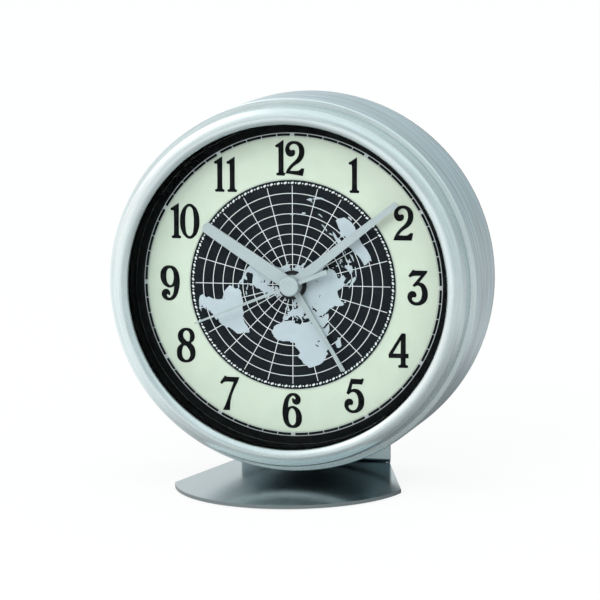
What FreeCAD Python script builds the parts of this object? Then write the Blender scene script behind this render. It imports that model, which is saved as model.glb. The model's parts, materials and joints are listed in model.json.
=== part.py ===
import FreeCAD, Part
import Sketcher
import math
import operator
import os

# A round table clock with a polar world map on its dial, on a bent sheet stand.
# Row frame: +Z up, the dial faces -Y, the origin is under the stand's plate at the centre of its front arc.
# Case frame: x to the right, y up in the dial's plane, z out of the dial, with zero at the opening's front.

V = FreeCAD.Vector

# Driving dimensions in millimetres and degrees
SIZES = {
    # Whole clock
    "case_tilt": 3.0,
    "drum_clearance": 1.6,
    "case_forward": 8.0,
    "case_depth": 46.3,
    "slide_clearance": 0.1,
    "run_clearance": 0.05,
    "loose_clearance": 0.3,
    # Bezel
    "bezel_step": 0.8,
    "bezel_round": 5.2,
    "lip_inset": 2.3,
    "lip_round": 3.0,
    "lip_depth": 2.4,
    "lip_seat": 1.9,
    "bezel_depth": 6.8,
    "flange_width": 1.3,
    # Glass, gasket, surround and dial
    "lens_thickness": 1.8,
    "gasket_thickness": 0.8,
    "gasket_width": 2.4,
    "surround_wall": 1.6,
    "surround_foot": 1.2,
    "dial_thickness": 0.8,
    "dial_hole_radius": 4.1,
    # Drum
    "drum_radius": 63.0,
    "drum_wall": 1.2,
    "shoulder_drop": 1.8,
    "shoulder_length": 3.0,
    # Frame behind the dial
    "frame_inset": 0.4,
    "frame_gap": 0.8,
    "frame_thickness": 2.2,
    "post_radius": 3.0,
    "post_inset": 7.0,
    # Screws
    "screw_radius": 1.2,
    "screw_head_radius": 2.4,
    "screw_head_height": 1.4,
    "screw_grip": 7.0,
    "small_screw_radius": 0.9,
    "small_head_radius": 1.5,
    "small_head_height": 0.9,
    "small_screw_grip": 4.0,
    "slot_width": 0.5,
    "thread_clearance": 0.05,
    # Rear cover
    "rim_thickness": 1.3,
    "rim_step": 0.2,
    "rim_round": 0.8,
    "cover_thickness": 2.0,
    "cover_lip": 1.4,
    "cover_lip_wall": 1.4,
    "bay_inset": 24.8,
    "bay_gap": 0.9,
    "bay_wall": 1.2,
    "spring_room": 5.0,
    "bracket_boss_radius": 3.2,
    "bracket_boss_height": 6.5,
    "sound_slot_width": 1.2,
    "sound_slot_length": 10.0,
    "sound_slot_pitch": 2.6,
    # Battery door
    "door_overlap": 2.0,
    "door_thickness": 1.2,
    "door_rib_width": 0.9,
    "door_rib_height": 0.6,
    "door_rib_pitch": 2.2,
    "rail_width": 1.6,
    "rail_lip": 0.9,
    "rail_lip_thickness": 0.8,
    # Battery and its contacts
    "cell_radius": 7.1,
    "cell_length": 49.5,
    "cell_tip_radius": 2.6,
    "cell_tip_length": 1.0,
    "contact_thickness": 0.4,
    "contact_half_width": 5.0,
    # Sounder
    "sounder_inset": 25.8,
    "sounder_drop": 10.0,
    "sounder_radius": 10.0,
    "sounder_height": 3.6,
    "sounder_vent_radius": 1.5,
    # Alarm switch
    "switch_inset": 25.8,
    "switch_drop": 14.0,
    "switch_travel": 4.0,
    "switch_stem_half_width": 1.0,
    "switch_stem_half_length": 1.8,
    "switch_knob_half_width": 2.2,
    "switch_knob_half_length": 2.6,
    "switch_knob_height": 1.6,
    "switch_flange_thickness": 0.8,
    "switch_contact_thickness": 0.4,
    "switch_contact_height": 3.4,
    # Stand
    "foot_pad_thickness": 0.4,
    "foot_pad_inset": 2.0,
    "sheet_thickness": 1.2,
    "plate_radius": 40.0,
    "corner_inset": 1.1,
    "tongue_inset": 12.7,
    "tongue_above_screws": 8.0,
    "tongue_corner_round": 6.0,
    "bend_radius": 1.0,
    "relief_radius": 1.2,
    "bracket_screw_x": 14.0,
    "bracket_screw_inset": 20.8,
    # Movement case
    "movement_half_size": 27.5,
    "movement_round": 4.0,
    "movement_wall": 1.4,
    "movement_plate": 1.2,
    "movement_front_length": 8.0,
    "movement_post_radius": 2.2,
    "movement_post_inset": 3.9,
    "pivot_depth": 0.7,
    "bush_wall": 1.25,
    "nut_thickness": 0.9,
    "nut_radius": 4.9,
    "bush_proud": 0.1,
    # Wheels
    "layer_margin": 0.4,
    "layer_pitch": 1.7,
    "gear_thickness": 0.9,
    "arbor_radius": 0.5,
    "wheel_arbor_radius": 0.6,
    "stem_radius": 1.0,
    "pipe_wall": 0.65,
    "motion_module": 0.5,
    "hour_module": 0.48,
    "third_module": 0.36,
    "centre_module": 0.34,
    "step_module": 0.44,
    "rotor_module": 0.4,
    # Motor and board
    "magnet_radius": 2.2,
    "stator_hole_radius": 2.7,
    "stator_half_height": 4.0,
    "stator_left": 19.5,
    "stator_right": 9.5,
    "coil_radius": 3.0,
    "coil_flange_radius": 3.4,
    "coil_flange_thickness": 0.7,
    "coil_bore_radius": 1.1,
    "coil_spool_radius": 1.6,
    "coil_left": 19.0,
    "coil_right": 9.6,
    "board_half_width": 19.0,
    "board_low": 15.0,
    "board_high": 25.4,
    "board_thickness": 1.0,
    "chip_half_size": 2.2,
    "chip_height": 1.0,
    "crystal_radius": 1.0,
    "crystal_length": 6.0,
    "crystal_x": 9.0,
    # Hands
    "hand_thickness": 0.4,
    "alarm_hand_rise": 1.2,
    "hand_gap": 0.7,
    "hand_clearance": 1.05,
    "hour_hand_inset": 18.2,
    "hour_hand_hub_width": 4.7,
    "hour_hand_tip_width": 3.7,
    "minute_hand_inset": 8.2,
    "minute_hand_hub_width": 3.8,
    "minute_hand_tip_width": 2.0,
    "second_hand_inset": 19.2,
    "second_hand_hub_width": 1.1,
    "second_hand_tip_width": 0.6,
    "second_hand_tail": 13.8,
    "second_hand_tail_width": 1.6,
    "alarm_hand_inset": 20.8,
    "alarm_hand_hub_width": 2.3,
    "alarm_hand_tip_width": 1.0,
    "alarm_hub_radius": 3.5,
    "hour_hub_radius": 3.2,
    "minute_hub_radius": 2.6,
    "cap_radius": 3.3,
    "cap_height": 1.1,
    "cap_round": 0.4,
    # Setting knobs
    "knob_radius": 6.0,
    "knob_height": 6.0,
    "knob_flute_radius": 0.7,
    "knob_round": 0.6,
    "knob_gap": 0.4,
    "knob_socket": 3.5,
}

# Turns from twelve o'clock, clockwise: eight minutes and forty-one seconds past ten, alarm at four to five
SECOND_HAND_ANGLE = 248.0
MINUTE_HAND_ANGLE = 52.1
HOUR_HAND_ANGLE = 303.2
ALARM_HAND_ANGLE = 148.0

# Gear teeth, and tooth form as shares of the module or of one tooth's angle
ROTOR_TEETH = 8
STEP_TEETH = 40
STEP_PINION_TEETH = 8
SECOND_TEETH = 48
SECOND_PINION_TEETH = 8
THIRD_TEETH = 60
THIRD_PINION_TEETH = 8
CENTRE_TEETH = 64
CANNON_TEETH = 12
MINUTE_TEETH = 36
MINUTE_PINION_TEETH = 10
HOUR_TEETH = 40
ALARM_TEETH = 40
SETTING_TEETH = 12
ADDENDUM_SHARE = 0.7
DEDENDUM_SHARE = 1.15
ROOT_SHARE = 0.26
PITCH_SHARE = 0.18
TIP_SHARE = 0.08

TIP_ROUND_SHARE = 1.04
KNOB_FLUTES = 18
SOUND_SLOTS = 5
DOOR_RIBS = 4
POST_ANGLES = (20, 160, 210, 330)
FRAME_SCREW_ANGLES = (0, 90, 180, 270)

SIGNS = {"+": operator.add, "-": operator.sub, "*": operator.mul, "/": operator.truediv}


class Size:
    """A size with its value and the sheet expression that gives it."""

    def __init__(self, value, text):
        self.value = value
        self.text = text

    def joined(self, sign, other):
        other = as_size(other)
        return Size(SIGNS[sign](self.value, other.value), f"({self.text} {sign} {other.text})")

    def __add__(self, other):
        return self.joined("+", other)

    def __radd__(self, other):
        return as_size(other).joined("+", self)

    def __sub__(self, other):
        return self.joined("-", other)

    def __rsub__(self, other):
        return as_size(other).joined("-", self)

    def __mul__(self, other):
        return self.joined("*", other)

    def __rmul__(self, other):
        return as_size(other).joined("*", self)

    def __truediv__(self, other):
        return self.joined("/", other)

    def __neg__(self):
        return Size(-self.value, f"(0 - {self.text})")


def as_size(item):
    return item if isinstance(item, Size) else Size(item, repr(item))


def number(item):
    return item.value if isinstance(item, Size) else item


def cosine(angle):
    return Size(math.cos(math.radians(angle.value)), f"cos({angle.text} * 1 deg)")


def sine(angle):
    return Size(math.sin(math.radians(angle.value)), f"sin({angle.text} * 1 deg)")


doc = FreeCAD.newDocument("world_time_clock")
sheet = doc.addObject("Spreadsheet::Sheet", "dims")
for row, (alias, value) in enumerate(SIZES.items(), 1):
    sheet.set(f"A{row}", alias)
    sheet.set(f"B{row}", str(value))
    sheet.setAlias(f"B{row}", alias)
doc.recompute()


class Sheet:
    """Every driving dimension of the sheet as a Size."""


size = Sheet()
for alias in SIZES:
    setattr(size, alias, Size(float(sheet.get(alias)), f"dims.{alias}"))

pieces = []

# Radii of the case, all taken from the drum
inner_radius = size.drum_radius - size.drum_wall
spigot_fit_radius = inner_radius - size.slide_clearance
spigot_radius = inner_radius - size.flange_width - size.slide_clearance
bezel_radius = size.drum_radius - size.bezel_step
crest_radius = bezel_radius - size.bezel_round
opening_radius = crest_radius - size.lip_inset
recess_radius = opening_radius + size.lip_seat
fit_radius = recess_radius - size.slide_clearance
rim_radius = size.drum_radius - size.rim_step
frame_radius = spigot_radius - size.frame_inset
post_circle_radius = frame_radius - size.post_inset
frame_screw_circle_radius = (recess_radius + spigot_radius) / 2

# Depths behind the front of the opening
hand_pitch = size.hand_thickness + size.hand_gap
hour_hand_rise = size.alarm_hand_rise + hand_pitch
minute_hand_rise = hour_hand_rise + hand_pitch
second_hand_rise = minute_hand_rise + hand_pitch
lens_front = size.lip_depth
lens_back = lens_front + size.lens_thickness
gasket_back = lens_back + size.gasket_thickness
hands_room = second_hand_rise + size.hand_thickness + size.run_clearance + size.cap_height
dial_depth = lens_back + hands_room + size.hand_clearance
dial_back = dial_depth + size.dial_thickness
frame_back = dial_back + size.frame_thickness
cover_front = size.case_depth - size.cover_thickness
drum_back = size.case_depth - size.rim_thickness
drum_length = drum_back - size.bezel_depth

# Lengths of the hands, from the opening
hour_hand_length = opening_radius - size.hour_hand_inset
minute_hand_length = opening_radius - size.minute_hand_inset
second_hand_length = opening_radius - size.second_hand_inset
alarm_hand_length = opening_radius - size.alarm_hand_inset

# The battery bay, from the cell, and the places on the rear cover
bay_half_height = size.cell_radius + size.bay_gap
bay_depth = 2 * size.cell_radius + size.slide_clearance + size.bay_gap
cell_room = size.cell_length + size.cell_tip_length + size.contact_thickness + size.slide_clearance
bay_half_length = (cell_room + size.spring_room) / 2
bay_centre_height = rim_radius - size.bay_inset
door_half_length = bay_half_length + size.door_overlap
door_half_height = bay_half_height + size.door_overlap
sounder_x = size.sounder_inset - rim_radius
sounder_y = -size.sounder_drop
switch_x = rim_radius - size.switch_inset
switch_y = -size.switch_drop
bracket_screw_y = rim_radius - size.bracket_screw_inset

# The stand, and the height that lets the drum clear its plate
corner_half_width = size.plate_radius - size.corner_inset
tongue_half_width = corner_half_width - size.tongue_inset
tongue_top = bracket_screw_y - size.tongue_above_screws
plate_top = size.foot_pad_thickness + size.sheet_thickness
drum_reach = size.drum_radius * cosine(size.case_tilt) + drum_back * sine(size.case_tilt)
opening_height = plate_top + size.drum_clearance + drum_reach

# The case frame's place in the row frame
case_place = FreeCAD.Placement(
    V(0, -size.case_forward.value, opening_height.value),
    FreeCAD.Rotation(V(1, 0, 0), 90 - size.case_tilt.value),
)


def bind(item, name, value):
    """Sets a property, with its expression where the value comes from the sheet."""
    if isinstance(value, Size):
        item.setExpression(name, value.text)
    else:
        setattr(item, name, value)


def seat(piece, depth, x=0, y=0, turn=0):
    """Puts a piece's local zero at a depth behind the opening, and lists the piece."""
    local = FreeCAD.Placement(
        V(number(x), number(y), -number(depth)), FreeCAD.Rotation(V(0, 0, 1), turn)
    )
    piece.Placement = case_place.multiply(local)
    pieces.append(piece)
    return piece


def new_body(label):
    body = doc.addObject("PartDesign::Body", label)
    body.Label = label
    return body


def new_sketch(body, name, role="XY_Plane", height=0):
    """A sketch on one of the body's own origin planes, lifted along the plane's normal."""
    sketch = body.newObject("Sketcher::SketchObject", f"{body.Label}_{name}")
    plane = next(item for item in body.Origin.OriginFeatures if item.Role == role)
    sketch.AttachmentSupport = [(plane, "")]
    sketch.MapMode = "FlatFace"
    if isinstance(height, Size):
        sketch.AttachmentOffset = FreeCAD.Placement(V(0, 0, height.value), FreeCAD.Rotation())
        sketch.setExpression("AttachmentOffset.Base.z", height.text)
    return sketch


def bound_constraint(sketch, arguments, value):
    index = sketch.addConstraint(Sketcher.Constraint(*arguments, number(value)))
    if isinstance(value, Size):
        sketch.setExpression(f"Constraints[{index}]", value.text)


def pin_point(sketch, geometry, position, x, y):
    """Holds a point of a sketch at its coordinates."""
    for kind, value, axis in (("DistanceX", x, -2), ("DistanceY", y, -1)):
        if number(value) == 0:
            sketch.addConstraint(Sketcher.Constraint("PointOnObject", geometry, position, axis))
        else:
            bound_constraint(sketch, (kind, -1, 1, geometry, position), value)


def arc_centre(start, end, bend):
    """Centre of an arc between two points: left of the way for a positive radius, else right."""
    chord = end - start
    half = chord.Length / 2
    rise = math.sqrt(max(bend * bend - half * half, 0))
    left = V(-chord.y, chord.x, 0).normalize()
    return (start + end) / 2 + left * math.copysign(rise, bend)


def draw_outline(sketch, corners):
    """A closed outline of (x, y) corners; (x, y, radius) is reached by an arc instead of a line."""
    first = sketch.GeometryCount
    ends = []
    for index, corner in enumerate(corners):
        start = V(number(corners[index - 1][0]), number(corners[index - 1][1]), 0)
        end = V(number(corner[0]), number(corner[1]), 0)
        if len(corner) == 2:
            sketch.addGeometry(Part.LineSegment(start, end), False)
            ends.append((1, 2))
            continue
        bend = number(corner[2])
        centre = arc_centre(start, end, bend)
        low, high = (start, end) if bend > 0 else (end, start)
        angles = [math.atan2(point.y - centre.y, point.x - centre.x) for point in (low, high)]
        circle = Part.Circle(centre, V(0, 0, 1), abs(bend))
        sketch.addGeometry(Part.ArcOfCircle(circle, angles[0], angles[1]), False)
        ends.append((1, 2) if bend > 0 else (2, 1))
    for index, corner in enumerate(corners):
        before = (index - 1) % len(corners)
        sketch.addConstraint(
            Sketcher.Constraint(
                "Coincident", first + before, ends[before][1], first + index, ends[index][0]
            )
        )
        pin_point(sketch, first + index, ends[index][1], corner[0], corner[1])
        if len(corner) == 3:
            radius = corner[2] if number(corner[2]) > 0 else -corner[2]
            bound_constraint(sketch, ("Radius", first + index), radius)


def draw_circle(sketch, x, y, radius):
    centre = V(number(x), number(y), 0)
    index = sketch.addGeometry(Part.Circle(centre, V(0, 0, 1), number(radius)), False)
    pin_point(sketch, index, 3, x, y)
    bound_constraint(sketch, ("Radius", index), radius)


def rectangle(half_x, half_y, x=0, y=0):
    return [
        (x - half_x, y - half_y),
        (x + half_x, y - half_y),
        (x + half_x, y + half_y),
        (x - half_x, y + half_y),
    ]


def rounded_square(half, bend):
    return [
        (half - bend, -half),
        (half, bend - half, bend),
        (half, half - bend),
        (half - bend, half, bend),
        (bend - half, half),
        (-half, half - bend, bend),
        (-half, bend - half),
        (bend - half, -half, bend),
    ]


def pad(body, sketch, length, backward=False, both=False):
    feature = body.newObject("PartDesign::Pad", f"{sketch.Label}_pad")
    feature.Profile = sketch
    feature.Reversed = backward
    feature.Midplane = both
    bind(feature, "Length", length)
    return feature


def pocket(body, sketch, length=None, forward=False):
    """Cuts the sketch out of the body: right through with no length, else backward or forward."""
    feature = body.newObject("PartDesign::Pocket", f"{sketch.Label}_cut")
    feature.Profile = sketch
    if length is None:
        feature.Type = 1
        feature.Midplane = True
    else:
        feature.Reversed = forward
        bind(feature, "Length", length)
    return feature


def turned(label, profile):
    """A round body, turned about its z axis from (radius, height) corners."""
    body = new_body(label)
    sketch = new_sketch(body, "profile", "XZ_Plane")
    draw_outline(sketch, profile)
    feature = body.newObject("PartDesign::Revolution", f"{label}_turned")
    feature.Profile = sketch
    feature.ReferenceAxis = (sketch, ["V_Axis"])
    feature.Angle = 360
    return body


def tube(label, inner, outer, length):
    return turned(label, [(inner, 0), (outer, 0), (outer, length), (inner, length)])


def on_circle(radius, angle):
    """A point on a circle about the case's axis, as sizes."""
    return (
        radius * math.cos(math.radians(angle)),
        radius * math.sin(math.radians(angle)),
    )


# Depths of the movement
shell_joint = dial_back + size.movement_front_length
wheels_front = dial_back + size.movement_plate
layer_count = 8
wheels_back = wheels_front + size.layer_margin + layer_count * size.layer_pitch
shell_back = wheels_back + size.movement_plate

# Radii of the pipes, from the second hand's arbor outwards
minute_inner = size.arbor_radius + size.run_clearance
minute_outer = minute_inner + size.pipe_wall
hour_inner = minute_outer + size.run_clearance
hour_outer = hour_inner + size.pipe_wall
alarm_inner = hour_outer + size.run_clearance
alarm_outer = alarm_inner + size.pipe_wall
bush_inner = alarm_outer + size.run_clearance
bush_outer = bush_inner + size.bush_wall


def make_front_bezel():
    """Half-round brushed ring: lip over the glass, recess behind it, spigot inside the drum."""
    crest = crest_radius
    outer_bend = size.bezel_round
    inward = crest - opening_radius
    lip_drop = size.lip_round.value - math.sqrt(size.lip_round.value**2 - inward.value**2)
    drop_text = f"({size.lip_round.text} - sqrt({size.lip_round.text}^2 - {inward.text}^2))"
    lip_low = Size(lip_drop, drop_text)
    past = size.bezel_depth - outer_bend
    edge = math.sqrt(outer_bend.value**2 - past.value**2)
    edge_text = f"sqrt({outer_bend.text}^2 - {past.text}^2)"
    edge_radius = crest + Size(edge, edge_text)
    body = turned(
        "front_bezel",
        [
            (opening_radius, -lens_front),
            (recess_radius, -lens_front),
            (recess_radius, -dial_back),
            (spigot_radius, -dial_back),
            (spigot_radius, -size.bezel_depth),
            (edge_radius, -size.bezel_depth),
            (bezel_radius, -outer_bend, outer_bend),
            (crest, 0, outer_bend),
            (opening_radius, -lip_low, size.lip_round),
        ],
    )
    holes = new_sketch(body, "holes", height=-dial_back)
    for angle in FRAME_SCREW_ANGLES:
        x, y = on_circle(frame_screw_circle_radius, angle)
        draw_circle(holes, x, y, size.small_screw_radius + size.thread_clearance)
    pocket(body, holes, size.small_screw_grip, forward=True)
    seat(body, 0)


def make_glass_lens():
    seat(turned("glass_lens", [(0, 0), (fit_radius, 0), (fit_radius, size.lens_thickness),
                               (0, size.lens_thickness)]), lens_back)


def make_lens_gasket():
    seat(tube("lens_gasket", fit_radius - size.gasket_width, fit_radius, size.gasket_thickness), gasket_back)


def make_dial_surround():
    """Black tube between the glass and the dial, with a foot that presses the dial's edge."""
    length = dial_depth - gasket_back
    inner = fit_radius - size.gasket_width
    wall = inner + size.surround_wall
    body = turned(
        "dial_surround",
        [
            (inner, 0),
            (fit_radius, 0),
            (fit_radius, size.surround_foot),
            (wall, size.surround_foot),
            (wall, length),
            (inner, length),
        ],
    )
    seat(body, dial_depth)


def make_dial_plate():
    seat(tube("dial_plate", size.dial_hole_radius, fit_radius, size.dial_thickness), dial_back)


def make_case_drum():
    """Brushed sheet drum with a rounded front shoulder turned in over the bezel's spigot."""
    drop = size.shoulder_drop
    long = size.shoulder_length
    bend = (drop * drop + long * long) / (2 * drop)
    flange_inner = spigot_radius + size.slide_clearance
    body = turned(
        "case_drum",
        [
            (inner_radius, 0),
            (size.drum_radius, 0),
            (size.drum_radius, drum_length - long),
            (size.drum_radius - drop, drum_length, bend),
            (flange_inner, drum_length),
            (flange_inner, drum_length - size.drum_wall),
            (inner_radius, drum_length - size.drum_wall),
        ],
    )
    seat(body, drum_back)


def make_case_frame():
    """Ring behind the dial with four posts that take the rear cover's screws."""
    outer = frame_radius
    corner_reach = (size.movement_half_size - size.movement_round) * math.sqrt(2)
    inner = corner_reach + size.movement_round + size.frame_gap
    post_length = cover_front - dial_back
    body = new_body("case_frame")
    ring = new_sketch(body, "ring", height=post_length - size.frame_thickness)
    draw_circle(ring, 0, 0, outer)
    draw_circle(ring, 0, 0, inner)
    pad(body, ring, size.frame_thickness)
    posts = new_sketch(body, "posts")
    bores = new_sketch(body, "bores")
    for angle in POST_ANGLES:
        x, y = on_circle(post_circle_radius, angle)
        draw_circle(posts, x, y, size.post_radius)
        draw_circle(bores, x, y, size.screw_radius + size.thread_clearance)
    pad(body, posts, post_length)
    doc.recompute()
    pocket(body, bores, size.screw_grip + size.screw_radius, forward=True)
    holes = new_sketch(body, "holes")
    for angle in FRAME_SCREW_ANGLES:
        x, y = on_circle(frame_screw_circle_radius, angle)
        draw_circle(holes, x, y, size.small_screw_radius + size.slide_clearance)
    pocket(body, holes)
    seat(body, cover_front)


def sound_slot_centres():
    middle = (SOUND_SLOTS - 1) / 2
    return [sounder_y + (index - middle) * size.sound_slot_pitch for index in range(SOUND_SLOTS)]


def make_rear_cover():
    """Moulded back with a dark rim, battery bay, door rails, screw bosses and control holes."""
    rim_flat = rim_radius - size.rim_round
    lip_top = size.cover_thickness + size.cover_lip
    body = turned(
        "rear_cover",
        [
            (0, 0),
            (rim_flat, 0),
            (rim_radius, size.rim_round, size.rim_round),
            (rim_radius, size.rim_thickness),
            (spigot_fit_radius, size.rim_thickness),
            (spigot_fit_radius, lip_top),
            (spigot_fit_radius - size.cover_lip_wall, lip_top),
            (spigot_fit_radius - size.cover_lip_wall, size.cover_thickness),
            (0, size.cover_thickness),
        ],
    )
    bay = new_sketch(body, "bay", height=size.cover_thickness)
    draw_outline(
        bay,
        rectangle(
            bay_half_length + size.bay_wall,
            bay_half_height + size.bay_wall,
            0,
            bay_centre_height,
        ),
    )
    pad(body, bay, bay_depth + size.bay_wall - size.cover_thickness)
    bosses = new_sketch(body, "bosses", height=size.cover_thickness)
    for side in (-1, 1):
        draw_circle(bosses, side * size.bracket_screw_x, -bracket_screw_y, size.bracket_boss_radius)
    pad(body, bosses, size.bracket_boss_height)
    rails = new_sketch(body, "rails", "XZ_Plane", -bay_centre_height)
    inside = door_half_length + size.slide_clearance
    outside = inside + size.rail_width
    rail_height = size.door_thickness + 2 * size.slide_clearance
    lip = inside - size.rail_lip
    for side in (-1, 1):
        draw_outline(
            rails,
            [
                (side * inside, 0),
                (side * outside, 0),
                (side * outside, -rail_height - size.rail_lip_thickness),
                (side * lip, -rail_height - size.rail_lip_thickness),
                (side * lip, -rail_height),
                (side * inside, -rail_height),
            ],
        )
    pad(body, rails, 2 * door_half_height, both=True)
    hollow = new_sketch(body, "hollow")
    draw_outline(
        hollow,
        rectangle(bay_half_length, bay_half_height, 0, bay_centre_height),
    )
    pocket(body, hollow, bay_depth, forward=True)
    bores = new_sketch(body, "bores")
    for side in (-1, 1):
        draw_circle(bores, side * size.bracket_screw_x, -bracket_screw_y,
                    size.screw_radius + size.thread_clearance)
    pocket(body, bores, size.cover_thickness + size.bracket_boss_height - size.bay_wall, forward=True)
    holes = new_sketch(body, "holes")
    for angle in POST_ANGLES:
        x, y = on_circle(post_circle_radius, angle)
        draw_circle(holes, x, y, size.screw_radius + size.slide_clearance)
    for x, y in (time_set_centre, alarm_set_centre):
        draw_circle(holes, x, y, size.stem_radius + size.run_clearance)
    slot_half = size.switch_stem_half_length + size.switch_travel / 2 + size.slide_clearance
    draw_outline(
        holes,
        rectangle(
            size.switch_stem_half_width + size.slide_clearance,
            slot_half,
            switch_x,
            switch_y,
        ),
    )
    for height in sound_slot_centres():
        draw_outline(
            holes,
            rectangle(size.sound_slot_length / 2, size.sound_slot_width / 2, sounder_x, height),
        )
    pocket(body, holes)
    seat(body, size.case_depth)


def make_battery_door():
    """Flat sliding door with grip ribs across its lower half."""
    body = new_body("battery_door")
    face = new_sketch(body, "face")
    draw_outline(face, rectangle(door_half_length, door_half_height))
    pad(body, face, size.door_thickness)
    ribs = new_sketch(body, "ribs")
    for index in range(DOOR_RIBS):
        height = index * size.door_rib_pitch - door_half_height + size.door_rib_pitch
        draw_outline(
            ribs,
            rectangle(door_half_length / 4, size.door_rib_width / 2, 0, height),
        )
    pad(body, ribs, size.door_rib_height, backward=True)
    depth = size.case_depth + size.slide_clearance + size.door_thickness
    seat(body, depth, 0, bay_centre_height)


def make_battery_cell():
    """One AA cell that lies across the bay with its tip to the right."""
    body = turned(
        "battery_cell",
        [
            (0, 0),
            (size.cell_radius, 0),
            (size.cell_radius, size.cell_length),
            (size.cell_tip_radius, size.cell_length),
            (size.cell_tip_radius, size.cell_length + size.cell_tip_length),
            (0, size.cell_length + size.cell_tip_length),
        ],
    )
    body.Placement = case_place.multiply(
        FreeCAD.Placement(
            V(cell_left.value, bay_centre_height.value, -cell_depth.value),
            FreeCAD.Rotation(V(0, 1, 0), 90),
        )
    )
    pieces.append(body)


cell_depth = size.case_depth - bay_depth + size.slide_clearance + size.cell_radius
cell_left = bay_half_length - cell_room


def make_battery_contacts():
    """Flat plate at the cell's tip, and a folded leaf spring at its base."""
    plate = new_body("battery_contact")
    face = new_sketch(plate, "face")
    draw_outline(face, rectangle(size.contact_half_width, size.contact_half_width))
    pad(plate, face, size.contact_thickness)
    turn = FreeCAD.Rotation(V(0, 1, 0), -90)
    plate.Placement = case_place.multiply(
        FreeCAD.Placement(V(bay_half_length.value, bay_centre_height.value, -cell_depth.value), turn)
    )
    pieces.append(plate)
    left = -bay_half_length + size.slide_clearance
    room = cell_left - size.slide_clearance - left
    thick = size.contact_thickness
    half = size.contact_half_width
    leaf = new_body("battery_spring")
    side = new_sketch(leaf, "side", "XZ_Plane")
    draw_outline(
        side,
        [
            (0, -half),
            (thick, -half),
            (thick, half - thick),
            (room - thick, 0),
            (room - thick, -half / 3),
            (room, -half / 3),
            (room, thick),
            (2 * thick, half),
            (0, half),
        ],
    )
    pad(leaf, side, 2 * half, both=True)
    seat(leaf, cell_depth, left, bay_centre_height)


def make_sounder():
    """Round buzzer against the inside of the cover, with a vent to the slots."""
    seat(tube("sounder", size.sounder_vent_radius, size.sounder_radius, size.sounder_height),
         cover_front, sounder_x, sounder_y)


def make_alarm_switch():
    """Slider with its knob outside the cover, and the strip that it closes inside."""
    body = new_body("alarm_switch")
    stem_length = size.cover_thickness + 2 * size.slide_clearance
    knob = new_sketch(body, "knob")
    draw_outline(knob, rectangle(size.switch_knob_half_width, size.switch_knob_half_length))
    pad(body, knob, size.switch_knob_height)
    stem = new_sketch(body, "stem", height=size.switch_knob_height)
    draw_outline(stem, rectangle(size.switch_stem_half_width, size.switch_stem_half_length))
    pad(body, stem, stem_length)
    flange = new_sketch(body, "flange", height=size.switch_knob_height + stem_length)
    draw_outline(flange, rectangle(size.switch_knob_half_width, size.switch_stem_half_length))
    pad(body, flange, size.switch_flange_thickness)
    depth = size.case_depth + size.slide_clearance + size.switch_knob_height
    seat(body, depth, switch_x, switch_y - size.switch_travel / 2)

    strip = new_body("switch_contact")
    side = new_sketch(strip, "side", "XZ_Plane")
    near = size.switch_knob_half_width + size.loose_clearance
    thin = size.switch_contact_thickness
    foot = near + thin + size.switch_knob_half_width
    draw_outline(
        side,
        [
            (near, 0),
            (foot, 0),
            (foot, thin),
            (near + thin, thin),
            (near + thin, size.switch_contact_height),
            (near, size.switch_contact_height),
        ],
    )
    pad(strip, side, 2 * size.switch_stem_half_length, both=True)
    seat(strip, cover_front, switch_x, switch_y)


def plate_outline(inset, back):
    """Front arc between two corners, and sides that taper in to the fold."""
    radius = size.plate_radius - inset
    corner = corner_half_width - inset
    corner_y = Size(
        -math.sqrt(radius.value**2 - corner.value**2),
        f"(0 - sqrt({radius.text}^2 - {corner.text}^2))",
    )
    tail = tongue_half_width - inset
    return [(corner, corner_y, radius), (tail, back), (-tail, back), (-corner, corner_y)]


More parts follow.
